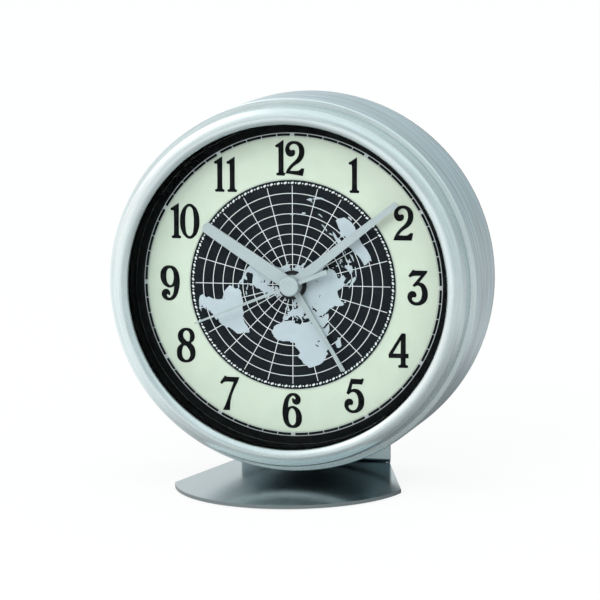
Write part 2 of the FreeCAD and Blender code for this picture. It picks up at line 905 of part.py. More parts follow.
def make_stand():
    """One bent sheet: a plate with a round front, and a tongue that rises behind the clock."""
    slope_cos = cosine(size.case_tilt)
    slope_sin = sine(size.case_tilt)
    thick = size.sheet_thickness
    low = size.foot_pad_thickness
    top = low + thick
    inner = size.bend_radius
    # Where the cover's rear face meets the case axis, and where its plane meets the plate
    axis_y = size.case_depth * slope_cos - size.case_forward
    axis_z = opening_height - size.case_depth * slope_sin
    foot_y = axis_y - (axis_z - top) * slope_sin / slope_cos
    bend_y = foot_y - inner * (1 - slope_sin) / slope_cos
    bend_z = top + inner
    top_y = axis_y - tongue_top * slope_sin
    top_z = axis_z - tongue_top * slope_cos
    outer = inner + thick

    body = new_body("stand_bracket")
    plate = new_sketch(body, "plate", height=low)
    draw_outline(plate, plate_outline(0, bend_y))
    pad(body, plate, thick)
    tongue = new_sketch(body, "tongue", "YZ_Plane")
    draw_outline(
        tongue,
        [
            (bend_y, low),
            (bend_y + outer * slope_cos, bend_z - outer * slope_sin, outer),
            (top_y + thick * slope_cos, top_z - thick * slope_sin),
            (top_y, top_z),
            (bend_y + inner * slope_cos, bend_z - inner * slope_sin),
            (bend_y, top, -inner),
        ],
    )
    pad(body, tongue, 2 * tongue_half_width, both=True)
    relief = new_sketch(body, "relief", height=top)
    for side in (-1, 1):
        draw_circle(relief, side * tongue_half_width, bend_y - inner, size.relief_radius)
    pocket(body, relief, thick)
    holes = new_sketch(body, "holes", "XZ_Plane")
    holes.AttachmentOffset = FreeCAD.Placement(
        V(0, axis_z.value, -axis_y.value), FreeCAD.Rotation(V(1, 0, 0), -size.case_tilt.value)
    )
    for side in (-1, 1):
        draw_circle(holes, side * size.bracket_screw_x, -bracket_screw_y,
                    size.screw_radius + size.slide_clearance)
    pocket(body, holes)
    doc.recompute()
    corners = [
        f"Edge{index}"
        for index, edge in enumerate(body.Shape.Edges, 1)
        if abs(edge.Length - thick.value) < size.run_clearance.value
        and edge.CenterOfMass.z > top_z.value - thick.value
    ]
    sheet_metal = body.Tip
    rounds = body.newObject("PartDesign::Fillet", "tongue_corners")
    rounds.Base = (sheet_metal, corners)
    bind(rounds, "Radius", size.tongue_corner_round)
    pieces.append(body)

    pad_body = new_body("foot_pad")
    sole = new_sketch(pad_body, "sole")
    draw_outline(sole, plate_outline(size.foot_pad_inset, bend_y - size.foot_pad_inset))
    pad(pad_body, sole, low)
    pieces.append(pad_body)


def screw_shape(shank, head, head_height, length):
    """Round-headed screw with its head's underside at zero and its shank forward."""
    slot = size.slot_width.value
    body = Part.makeCylinder(head.value, head_height.value, V(0, 0, -head_height.value))
    groove = Part.makeBox(2 * head.value, slot, slot, V(-head.value, -slot / 2, -head_height.value))
    return body.cut(groove).fuse(Part.makeCylinder(shank.value, length.value)).removeSplitter()


def screw_group(label, shape, centres, depth):
    group = doc.addObject("Part::Feature", label)
    group.Label = label
    copies = []
    for x, y in centres:
        copy = shape.copy()
        copy.translate(V(number(x), number(y), 0))
        copies.append(copy)
    group.Shape = Part.makeCompound(copies)
    seat(group, depth)


def make_screws():
    large = (size.screw_radius, size.screw_head_radius, size.screw_head_height)
    small = (size.small_screw_radius, size.small_head_radius, size.small_head_height)
    posts = [on_circle(post_circle_radius, angle) for angle in POST_ANGLES]
    screw_group("rear_cover_screws", screw_shape(*large, size.cover_thickness + size.screw_grip),
                posts, size.case_depth)
    brackets = [(side * size.bracket_screw_x, -bracket_screw_y) for side in (-1, 1)]
    screw_group("bracket_screws", screw_shape(*large, size.sheet_thickness + size.bracket_boss_height),
                brackets, size.case_depth + size.sheet_thickness)
    rims = [on_circle(frame_screw_circle_radius, angle) for angle in FRAME_SCREW_ANGLES]
    frame_grip = size.frame_thickness + size.small_screw_grip - size.thread_clearance
    screw_group("frame_screws", screw_shape(*small, frame_grip), rims, frame_back)
    offset = size.movement_half_size - size.movement_post_inset
    corners = [(right * offset, up * offset) for right in (-1, 1) for up in (-1, 1)]
    rear_length = size.movement_plate + wheels_back - shell_joint
    screw_group("movement_screws", screw_shape(*small, rear_length + size.small_screw_grip),
                corners, shell_back)


def pitch_radius(teeth, module):
    return teeth * module.value / 2


def gear_shape(teeth, module, phase, layer):
    """A flat gear on the z axis, with a tooth at the phase angle, in one layer of the movement."""
    pitch = pitch_radius(teeth, module)
    top = pitch + ADDENDUM_SHARE * module.value
    root = pitch - DEDENDUM_SHARE * module.value
    side = [(root, ROOT_SHARE), (pitch, PITCH_SHARE), (top, TIP_SHARE)]
    tooth = [(radius, -share) for radius, share in side]
    tooth += [(radius, share) for radius, share in reversed(side)]
    points = []
    for index in range(teeth):
        for radius, share in tooth:
            angle = math.radians(phase + (index + share) * 360 / teeth)
            points.append(V(radius * math.cos(angle), radius * math.sin(angle), 0))
    face = Part.Face(Part.makePolygon(points + points[:1]))
    gear = face.extrude(V(0, 0, size.gear_thickness.value))
    gear.translate(V(0, 0, -layer_back(layer)))
    return gear


def layer_back(layer):
    """Depth of a layer's rear face behind the movement's front wall."""
    front = size.layer_margin.value + layer * size.layer_pitch.value
    return front + size.gear_thickness.value


def rod_shape(radius, front, back, bore=None):
    """A rod or pipe between two depths behind the movement's front wall."""
    rod = Part.makeCylinder(number(radius), number(back) - number(front), V(0, 0, -number(back)))
    if bore is None:
        return rod
    return rod.cut(Part.makeCylinder(number(bore), number(back) - number(front), V(0, 0, -number(back))))


def meshed_phase(phase, teeth, other_teeth, angle):
    """Phase of a gear that meshes with one of the given phase, seen from it at an angle."""
    lead = phase - angle
    return angle + 180 + 180 / other_teeth - lead * teeth / other_teeth


def wheel(label, shapes, centre, bore=None):
    """One moving piece of the movement: gears, pinions and arbor as one solid."""
    solid = shapes[0]
    for shape in shapes[1:]:
        solid = solid.fuse(shape)
    if bore is not None:
        depth = (shell_back - wheels_front).value
        solid = solid.cut(Part.makeCylinder(bore.value, 2 * depth, V(0, 0, -depth)))
    piece = doc.addObject("Part::Feature", label)
    piece.Label = label
    piece.Shape = solid.removeSplitter()
    return seat(piece, wheels_front, *centre)


def centre_at(distance, angle, base=(0, 0)):
    """A wheel's centre at a distance and angle from another's, as sizes."""
    x, y = on_circle(distance, angle)
    return (x + base[0], y + base[1])


# Directions between wheel centres, seen from the front
THIRD_ANGLE = 90
MINUTE_ANGLE = 180
STEP_ANGLE = 270
ROTOR_ANGLE = 300
TIME_SET_ANGLE = 135
ALARM_SET_ANGLE = 0

third_centre = centre_at(size.third_module * ((SECOND_PINION_TEETH + THIRD_TEETH) / 2), THIRD_ANGLE)
minute_centre = centre_at(size.motion_module * ((CANNON_TEETH + MINUTE_TEETH) / 2), MINUTE_ANGLE)
step_centre = centre_at(size.step_module * ((SECOND_TEETH + STEP_PINION_TEETH) / 2), STEP_ANGLE)
rotor_centre = centre_at(size.rotor_module * ((STEP_TEETH + ROTOR_TEETH) / 2), ROTOR_ANGLE, step_centre)
time_set_centre = centre_at(
    size.motion_module * ((MINUTE_TEETH + SETTING_TEETH) / 2), TIME_SET_ANGLE, minute_centre
)
alarm_set_centre = centre_at(size.motion_module * ((ALARM_TEETH + SETTING_TEETH) / 2), ALARM_SET_ANGLE)

# The movement's layers, counted from the dial
ALARM_LAYER, HOUR_LAYER, MOTION_LAYER, CENTRE_LAYER = 0, 1, 2, 3
THIRD_LAYER, SECOND_LAYER, STEP_LAYER, ROTOR_LAYER = 4, 5, 6, 7


def make_wheels():
    """The going train, the motion work and the alarm setting, in mesh at rest."""
    front = size.run_clearance - size.pivot_depth
    back = wheels_back - wheels_front + size.pivot_depth - size.run_clearance
    pivot = size.wheel_arbor_radius

    def hand_front(rise):
        """Depth of a hand's front face, counted from the movement's front wall inside."""
        return dial_depth - rise - size.hand_thickness - wheels_front

    second_phase = 0
    third_phase = meshed_phase(second_phase, SECOND_PINION_TEETH, THIRD_TEETH, THIRD_ANGLE)
    third_pinion_phase = 0
    centre_phase = meshed_phase(third_pinion_phase, THIRD_PINION_TEETH, CENTRE_TEETH, THIRD_ANGLE + 180)
    cannon_phase = 0
    minute_phase = meshed_phase(cannon_phase, CANNON_TEETH, MINUTE_TEETH, MINUTE_ANGLE)
    minute_pinion_phase = 0
    hour_phase = meshed_phase(minute_pinion_phase, MINUTE_PINION_TEETH, HOUR_TEETH, MINUTE_ANGLE + 180)
    time_phase = meshed_phase(minute_phase, MINUTE_TEETH, SETTING_TEETH, TIME_SET_ANGLE)
    step_pinion_phase = meshed_phase(second_phase, SECOND_TEETH, STEP_PINION_TEETH, STEP_ANGLE)
    rotor_phase = meshed_phase(0, STEP_TEETH, ROTOR_TEETH, ROTOR_ANGLE)
    alarm_set_phase = meshed_phase(0, ALARM_TEETH, SETTING_TEETH, ALARM_SET_ANGLE)

    wheel(
        "second_wheel",
        [
            gear_shape(SECOND_TEETH, size.step_module, second_phase, SECOND_LAYER),
            gear_shape(SECOND_PINION_TEETH, size.third_module, second_phase, THIRD_LAYER),
            rod_shape(size.arbor_radius, hand_front(second_hand_rise), back),
        ],
        (0, 0),
    )
    wheel(
        "third_wheel",
        [
            gear_shape(THIRD_TEETH, size.third_module, third_phase, THIRD_LAYER),
            gear_shape(THIRD_PINION_TEETH, size.centre_module, third_pinion_phase, CENTRE_LAYER),
            rod_shape(pivot, front, back),
        ],
        third_centre,
    )
    hub_front = layer_back(MOTION_LAYER)
    wheel(
        "centre_wheel",
        [
            gear_shape(CENTRE_TEETH, size.centre_module, centre_phase, CENTRE_LAYER),
            rod_shape(minute_outer + size.pipe_wall, hub_front, layer_back(CENTRE_LAYER)),
        ],
        (0, 0),
        minute_outer + size.run_clearance,
    )
    wheel(
        "minute_pipe",
        [
            gear_shape(CANNON_TEETH, size.motion_module, cannon_phase, MOTION_LAYER),
            rod_shape(minute_outer, hand_front(minute_hand_rise), layer_back(CENTRE_LAYER)),
        ],
        (0, 0),
        minute_inner,
    )
    wheel(
        "minute_wheel",
        [
            gear_shape(MINUTE_TEETH, size.motion_module, minute_phase, MOTION_LAYER),
            gear_shape(MINUTE_PINION_TEETH, size.hour_module, minute_pinion_phase, HOUR_LAYER),
            rod_shape(pivot, front, back),
        ],
        minute_centre,
    )
    wheel(
        "hour_wheel",
        [
            gear_shape(HOUR_TEETH, size.hour_module, hour_phase, HOUR_LAYER),
            rod_shape(hour_outer, hand_front(hour_hand_rise), layer_back(HOUR_LAYER)),
        ],
        (0, 0),
        hour_inner,
    )
    wheel(
        "alarm_wheel",
        [
            gear_shape(ALARM_TEETH, size.motion_module, 0, ALARM_LAYER),
            rod_shape(alarm_outer, hand_front(size.alarm_hand_rise), layer_back(ALARM_LAYER)),
        ],
        (0, 0),
        alarm_inner,
    )
    wheel(
        "step_wheel",
        [
            gear_shape(STEP_TEETH, size.rotor_module, 0, STEP_LAYER),
            gear_shape(STEP_PINION_TEETH, size.step_module, step_pinion_phase, SECOND_LAYER),
            rod_shape(pivot, front, back),
        ],
        step_centre,
    )
    wheel(
        "rotor",
        [
            gear_shape(ROTOR_TEETH, size.rotor_module, rotor_phase, STEP_LAYER),
            rod_shape(size.magnet_radius, layer_back(ROTOR_LAYER) - size.gear_thickness,
                      layer_back(ROTOR_LAYER)),
            rod_shape(pivot, front, back),
        ],
        rotor_centre,
    )
    knob_seat = size.case_depth + size.knob_gap + size.knob_socket - wheels_front
    for label, module_layer, phase, centre in (
        ("time_set_stem", MOTION_LAYER, time_phase, time_set_centre),
        ("alarm_set_stem", ALARM_LAYER, alarm_set_phase, alarm_set_centre),
    ):
        wheel(
            label,
            [
                gear_shape(SETTING_TEETH, size.motion_module, phase, module_layer),
                rod_shape(size.stem_radius, front, knob_seat),
            ],
            centre,
        )


def make_knobs():
    """Two fluted setting knobs on their stems behind the cover."""
    for label, centre in (("time_set_knob", time_set_centre), ("alarm_set_knob", alarm_set_centre)):
        radius = size.knob_radius
        body = turned(
            label,
            [
                (0, 0),
                (radius - size.knob_round, 0),
                (radius, size.knob_round, size.knob_round),
                (radius, size.knob_height),
                (0, size.knob_height),
            ],
        )
        flutes = new_sketch(body, "flutes")
        draw_circle(flutes, radius + size.knob_flute_radius / 2, 0, size.knob_flute_radius)
        cut = pocket(body, flutes)
        pattern = body.newObject("PartDesign::PolarPattern", f"{label}_flutes_round")
        pattern.Originals = [cut]
        axis = next(item for item in body.Origin.OriginFeatures if item.Role == "Z_Axis")
        pattern.Axis = (axis, [""])
        pattern.Angle = 360
        pattern.Occurrences = KNOB_FLUTES
        body.Tip = pattern
        socket = new_sketch(body, "socket", height=size.knob_height)
        draw_circle(socket, 0, 0, size.stem_radius + size.run_clearance)
        pocket(body, socket, size.knob_socket + size.run_clearance)
        seat(body, size.case_depth + size.knob_gap + size.knob_height, *centre)


def draw_posts(body, name, length, radius, height=0):
    sketch = new_sketch(body, name, height=height)
    offset = size.movement_half_size - size.movement_post_inset
    for right in (-1, 1):
        for up in (-1, 1):
            draw_circle(sketch, right * offset, up * offset, radius)
    return sketch


def draw_pivots(sketch):
    radius = size.wheel_arbor_radius + size.run_clearance
    for centre in (third_centre, minute_centre, step_centre, rotor_centre):
        draw_circle(sketch, *centre, radius)


def make_movement_shells():
    """Square moulded case of the movement: front tray with the centre bush, and rear tray."""
    half = size.movement_half_size
    bend = size.movement_round
    wall = size.movement_wall
    plate = size.movement_plate
    front_wall = size.movement_front_length - plate
    bush_length = dial_back - dial_depth + size.nut_thickness + size.bush_proud
    stem_hole = size.stem_radius + size.run_clearance

    front = new_body("movement_front_case")
    sides = new_sketch(front, "sides")
    draw_outline(sides, rounded_square(half, bend))
    draw_outline(sides, rounded_square(half - wall, bend - wall))
    pad(front, sides, front_wall)
    face = new_sketch(front, "face", height=front_wall)
    draw_outline(face, rounded_square(half, bend))
    pad(front, face, plate)
    pad(front, draw_posts(front, "posts", front_wall, size.movement_post_radius), front_wall)
    bush = new_sketch(front, "bush", height=size.movement_front_length)
    draw_circle(bush, 0, 0, bush_outer)
    pad(front, bush, bush_length)
    centre = new_sketch(front, "centre")
    draw_circle(centre, 0, 0, bush_inner)
    pocket(front, centre)
    pivots = new_sketch(front, "pivots", height=front_wall)
    draw_pivots(pivots)
    for place in (time_set_centre, alarm_set_centre):
        draw_circle(pivots, *place, stem_hole)
    pocket(front, pivots, size.pivot_depth, forward=True)
    bores = draw_posts(front, "bores", front_wall, size.small_screw_radius + size.thread_clearance)
    pocket(front, bores, size.small_screw_grip + size.loose_clearance, forward=True)
    seat(front, shell_joint)

    rear = new_body("movement_rear_case")
    rear_length = shell_back - shell_joint
    face = new_sketch(rear, "face")
    draw_outline(face, rounded_square(half, bend))
    pad(rear, face, plate)
    sides = new_sketch(rear, "sides", height=plate)
    draw_outline(sides, rounded_square(half, bend))
    draw_outline(sides, rounded_square(half - wall, bend - wall))
    pad(rear, sides, rear_length - plate)
    pad(rear, draw_posts(rear, "posts", rear_length, size.movement_post_radius), rear_length)
    pivots = new_sketch(rear, "pivots", height=plate)
    draw_pivots(pivots)
    draw_circle(pivots, 0, 0, size.arbor_radius + size.run_clearance)
    pocket(rear, pivots, size.pivot_depth)
    through = draw_posts(rear, "through", rear_length, size.small_screw_radius + size.slide_clearance)
    for place in (time_set_centre, alarm_set_centre):
        draw_circle(through, *place, stem_hole)
    pocket(rear, through)
    seat(rear, shell_back)


def make_mounting_nut():
    """Round black nut on the bush, in front of the dial, that carries the movement."""
    seat(tube("mounting_nut", bush_outer + size.run_clearance, size.nut_radius, size.nut_thickness),
         dial_depth)


def make_motor_and_board():
    """Stator, coil and circuit board against the movement's rear wall."""
    rotor_x, rotor_y = rotor_centre
    stator_back = wheels_front + size.layer_margin + ROTOR_LAYER * size.layer_pitch + size.gear_thickness
    stator = new_body("stator")
    plate = new_sketch(stator, "plate")
    half = size.stator_half_height
    draw_outline(
        plate,
        [
            (-size.stator_left, -half),
            (size.stator_right, -half),
            (size.stator_right, half),
            (-size.stator_left, half),
        ],
    )
    draw_circle(plate, rotor_x, 0, size.stator_hole_radius)
    pad(stator, plate, size.gear_thickness)
    seat(stator, stator_back, 0, rotor_y)

    coil_length = size.coil_left - size.coil_right
    coil_depth = stator_back - size.gear_thickness - size.slide_clearance - size.coil_flange_radius
    flange = size.coil_flange_thickness
    spool = turned(
        "coil_spool",
        [
            (size.coil_bore_radius, 0),
            (size.coil_flange_radius, 0),
            (size.coil_flange_radius, flange),
            (size.coil_spool_radius, flange),
            (size.coil_spool_radius, coil_length - flange),
            (size.coil_flange_radius, coil_length - flange),
            (size.coil_flange_radius, coil_length),
            (size.coil_bore_radius, coil_length),
        ],
    )
    lay = FreeCAD.Rotation(V(0, 1, 0), 90)
    spool.Placement = case_place.multiply(
        FreeCAD.Placement(V(-size.coil_left.value, rotor_y.value, -coil_depth.value), lay)
    )
    pieces.append(spool)
    wound = tube(
        "coil_winding",
        size.coil_spool_radius + size.run_clearance,
        size.coil_radius,
        coil_length - 2 * flange - 2 * size.run_clearance,
    )
    start = -size.coil_left + flange + size.run_clearance
    wound.Placement = case_place.multiply(
        FreeCAD.Placement(V(start.value, rotor_y.value, -coil_depth.value), lay)
    )
    pieces.append(wound)

    board = new_body("circuit_board")
    outline = new_sketch(board, "outline")
    draw_outline(
        outline,
        [
            (-size.board_half_width, size.board_low),
            (size.board_half_width, size.board_low),
            (size.board_half_width, size.board_high),
            (-size.board_half_width, size.board_high),
        ],
    )
    pad(board, outline, size.board_thickness)
    middle = (size.board_low + size.board_high) / 2
    chip = new_sketch(board, "chip", height=size.board_thickness)
    draw_outline(chip, rectangle(size.chip_half_size, size.chip_half_size, 0, middle))
    pad(board, chip, size.chip_height)
    board_back = wheels_back - size.loose_clearance
    seat(board, board_back)

    crystal = turned(
        "quartz_crystal",
        [
            (0, 0),
            (size.crystal_radius, 0),
            (size.crystal_radius, size.crystal_length),
            (0, size.crystal_length),
        ],
    )
    depth = board_back - size.board_thickness - size.slide_clearance - size.crystal_radius
    crystal.Placement = case_place.multiply(
        FreeCAD.Placement(
            V(size.crystal_x.value, middle.value, -depth.value),
            lay,
        )
    )
    pieces.append(crystal)


def make_hand(label, angle, rise, length, hub_width, tip_width, hub_radius, bore, tail=None):
    """A flat hand: tapered blade with a rounded tip on a round hub, and a tail where it has one."""
    body = new_body(label)
    blade = new_sketch(body, "blade")
    half = hub_width / 2
    tip = tip_width / 2
    outline = [
        (half, 0),
        (tip, length - tip),
        (-tip, length - tip, tip * TIP_ROUND_SHARE),
        (-half, 0),
    ]
    if tail is not None:
        tail_length, tail_width = tail
        outline += [(-tail_width / 2, -tail_length), (tail_width / 2, -tail_length)]
    draw_outline(blade, outline)
    pad(body, blade, size.hand_thickness)
    hub = new_sketch(body, "hub")
    draw_circle(hub, 0, 0, hub_radius)
    pad(body, hub, size.hand_thickness)
    hole = new_sketch(body, "hole")
    draw_circle(hole, 0, 0, bore)
    pocket(body, hole)
    seat(body, dial_depth - rise, 0, 0, -angle)
    return body


def make_hands():
    gap = size.run_clearance
    make_hand("alarm_hand", ALARM_HAND_ANGLE, size.alarm_hand_rise, alarm_hand_length,
              size.alarm_hand_hub_width, size.alarm_hand_tip_width, size.alarm_hub_radius,
              alarm_outer + gap)
    make_hand("hour_hand", HOUR_HAND_ANGLE, hour_hand_rise, hour_hand_length,
              size.hour_hand_hub_width, size.hour_hand_tip_width, size.hour_hub_radius,
              hour_outer + gap)
    make_hand("minute_hand", MINUTE_HAND_ANGLE, minute_hand_rise, minute_hand_length,
              size.minute_hand_hub_width, size.minute_hand_tip_width, size.minute_hub_radius,
              minute_outer + gap)
    second = make_hand("second_hand", SECOND_HAND_ANGLE, second_hand_rise,
                       second_hand_length, size.second_hand_hub_width,
                       size.second_hand_tip_width, size.minute_hub_radius,
                       size.arbor_radius + gap,
                       (size.second_hand_tail, size.second_hand_tail_width))
    cap = new_sketch(second, "cap", height=size.hand_thickness + gap)
    draw_circle(cap, 0, 0, size.cap_radius)
    pad(second, cap, size.cap_height)
    boss = new_sketch(second, "boss", height=size.hand_thickness)
    draw_circle(boss, 0, 0, size.minute_hub_radius)
    pad(second, boss, size.cap_height / 2)
    doc.recompute()
    top = (size.hand_thickness + gap + size.cap_height).value
    rims = [
        f"Edge{index}"
        for index, edge in enumerate(second.Tip.Shape.Edges, 1)
        if abs(edge.BoundBox.ZMin - top) < gap.value and abs(edge.BoundBox.ZMax - top) < gap.value
    ]
    flat_cap = second.Tip
    rounds = second.newObject("PartDesign::Fillet", "cap_round_edge")
    rounds.Base = (flat_cap, rims)
    bind(rounds, "Radius", size.cap_round)


def check_and_write():
    """Stops if anything failed to build, then writes one file for each piece."""
    doc.recompute()
    for item in doc.Objects:
        if "Invalid" in item.State or "Error" in item.State:
            raise RuntimeError(f"{item.Label} failed: {item.State}")
    for piece in pieces:
        shape = piece.Shape
        if shape.isNull() or not shape.isValid() or not shape.Solids:
            raise RuntimeError(f"{piece.Label} has no sound shape")
    os.makedirs("parts", exist_ok=True)
    for piece in pieces:
        piece.Shape.exportStep(f"parts/{piece.Label}.step")
    print(len(pieces), "pieces written")


make_front_bezel()
make_glass_lens()
make_lens_gasket()
make_dial_surround()
make_dial_plate()
make_case_drum()
make_case_frame()
make_rear_cover()
make_battery_door()
make_battery_cell()
make_battery_contacts()
make_sounder()
make_alarm_switch()
make_stand()
make_wheels()
make_knobs()
make_movement_shells()
make_mounting_nut()
make_motor_and_board()
make_hands()
make_screws()
check_and_write()
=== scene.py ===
"""World time clock: the looks of a round table alarm clock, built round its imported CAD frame."""

import json
import math

import bpy
from bpy.props import FloatProperty, FloatVectorProperty, IntProperty, PointerProperty
from mathutils import Matrix, Vector

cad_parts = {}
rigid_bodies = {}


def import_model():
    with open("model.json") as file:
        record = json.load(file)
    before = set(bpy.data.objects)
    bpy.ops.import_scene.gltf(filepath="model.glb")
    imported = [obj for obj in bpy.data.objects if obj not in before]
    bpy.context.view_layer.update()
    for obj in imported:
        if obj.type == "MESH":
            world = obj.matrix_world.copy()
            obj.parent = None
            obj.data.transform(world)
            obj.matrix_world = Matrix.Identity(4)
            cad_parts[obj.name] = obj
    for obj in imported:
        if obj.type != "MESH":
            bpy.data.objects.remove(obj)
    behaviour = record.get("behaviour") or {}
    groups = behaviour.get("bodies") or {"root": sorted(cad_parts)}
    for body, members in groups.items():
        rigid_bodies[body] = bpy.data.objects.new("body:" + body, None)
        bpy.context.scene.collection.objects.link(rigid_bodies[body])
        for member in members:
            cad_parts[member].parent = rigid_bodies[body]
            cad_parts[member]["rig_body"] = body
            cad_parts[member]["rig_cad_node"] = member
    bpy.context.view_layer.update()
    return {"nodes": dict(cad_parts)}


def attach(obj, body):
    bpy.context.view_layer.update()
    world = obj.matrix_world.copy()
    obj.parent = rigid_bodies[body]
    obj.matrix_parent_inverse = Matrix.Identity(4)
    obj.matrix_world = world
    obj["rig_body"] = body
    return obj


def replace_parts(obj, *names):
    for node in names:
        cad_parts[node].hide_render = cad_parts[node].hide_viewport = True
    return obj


bl_info = {
    "name": "World Time Clock",
    "version": (1, 0, 0),
    "blender": (4, 5, 0),
    "location": "3D View > Sidebar > Clock",
    "description": "Builds the looks of a round world time alarm clock round its CAD frame",
    "category": "Object",
}

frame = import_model()

MM = 0.001
# The case leans back by three degrees
TILT = math.radians(87)
# The opening's centre, where the case frame starts: x right, y up the dial, z out of it
CENTRE = Vector((0, -8.0, 68.4688)) * MM
CASE = Matrix.Translation(CENTRE) @ Matrix.Rotation(TILT, 4, "X")
# The dial's face, and how far each print lies above the one below it
DIAL = -11.3 * MM
LAYER = 0.04 * MM
# Points nearer than this are merged, in a new piece and in a copy of a CAD node
WELD = 0.002 * MM
CAD_WELD = 0.003 * MM
# Steps of a turned piece, and the sharpest edge that is still shaded smooth
AROUND = 256
SMOOTH = math.radians(35)
# The drum's radius in mm, at which the length of a streak is given
RIM = 63.0
# Screened ink and rubber have hardly any gloss of their own
MATT = {"Specular IOR Level": 0.08}

# Radius and height in mm of each corner of a turned section. An arc has the centre it turns about,
# the angle in degrees that it turns through and its number of steps.
BEZEL_SECTION = (
    (54.7, -2.4),
    (54.7, -1.074),
    ("arc", 57.0, -3.0, 50.05, 8),
    ("arc", 57.0, -4.4, 38.0, 10),
    ("arc", 58.786, -2.115, 45.0, 12),
    (61.08, -8.8),
    (60.4, -8.8),
    (60.4, -12.1),
    (56.6, -12.1),
    (56.6, -2.4),
)
DRUM_SECTION = (
    (61.8, -45.0),
    (61.8, -10.4),
    (62.98, -10.4),
    (62.98, -43.85),
    ("arc", 61.83, -43.85, 90.0, 8),
)
# The drum's polished front shoulder
SHOULDER_SECTION = (
    (60.5, -10.4),
    (60.5, -9.1),
    (61.15, -9.1),
    (62.38, -9.25),
    ("arc", 62.38, -9.85, 90.0, 8),
    (62.98, -10.4),
)
# A thin black ring between the bezel and the drum: painted shade for the dark groove of the seam
SEAM_SHADE_SECTION = ((60.42, -8.84), (60.42, -9.06), (60.8, -9.06), (60.8, -8.84))

# Faces round the minute track. Its gaps, each minute and each hour: how many faces apart they are,
# and the half width of each.
TRACK_FACES = 1080
TRACK_GAPS = ((18, 0.6), (90, 2.6))
# Inner and outer radii in mm of thin grey lines of painted shadow: inside the dashes, and round the
# map
DASH_SHADOW = (49.72, 50.02)
MAP_RIM_SHADOW = (35.42, 35.78)
# The map in mm: the hole in its middle, the radii where a meridian starts and ends, and the slanted
# block and the dot of its border
MAP_HOLE = 4.15
MERIDIAN = (4.3, 33.5)
MERIDIANS = 24
BLOCK = (0.98, 0.6)
BLOCK_TURN = math.radians(-25)
DOT_RADIUS = 0.25
# How far the map goes from the pole, and the longitude to the right of it, in degrees
MAP_REACH = 150
MAP_RIGHT = 97.5

# The floor's width in metres, and how much of what is seen of it is glow
FLOOR_SIZE = 60
CARD_GLOW = 0.86
# Fades, each along an axis or round a place: where it starts and ends, and the strength there.
# Painted light and shade seen by metal: the floor bright on the left, dimmer on the right and
# behind, dark near the clock
FLOOR_FADES = (
    ("X", -0.09, 0.0, 1.4, 0.9),
    ("Y", 0.1, 0.3, 1.0, 0.75),
    ((0.05, -0.06, 0), 0.07, 0.2, 0.5, 1.0),
    ((0.03, 0.06, 0), 0.05, 0.14, 0.3, 1.0),
)
# By direction it sees the room brightest on the left, as from one large window, and lighter above.
# The corner behind on the right takes light away, and from left to right the light turns cooler.
ROOM_FADES = (("X", -0.65, -0.15, 1.55, 0.87), ("Z", 0.35, 0.65, 1.0, 1.5))
CORNER_FADES = (("X", 0.0, 0.3, 0.0, 0.3), ("Y", 0.2, 0.8, 0.0, -1.0))
COOL_FADES = (("X", -0.65, 0.0, 0.0, 1.0),)
# Name, place and aim in metres, width in metres and power in watts of each lamp
LAMPS = (
    ("window_left", (-0.45, -1.1, 0.75), (0, -0.02, 0.06), 0.7, 4.8),
    ("panel_top", (0.1, -0.1, 1.2), (0, 0, 0.06), 0.8, 0.7),
)
# The camera's azimuth, elevation and roll in degrees, its distance in metres, its lens and sensor
# in mm, and how far the opening's centre lies left of the frame's middle and above it. That was
# measured in pixels, of which three make a millimetre.
CAMERA_TURN = (12.87, 9.72, -0.86)
CAMERA_DISTANCE = 1.5
CAMERA_LENS, CAMERA_SENSOR = 270, 36
CAMERA_SHIFT = (14.6 / 3, 11.5 / 3)

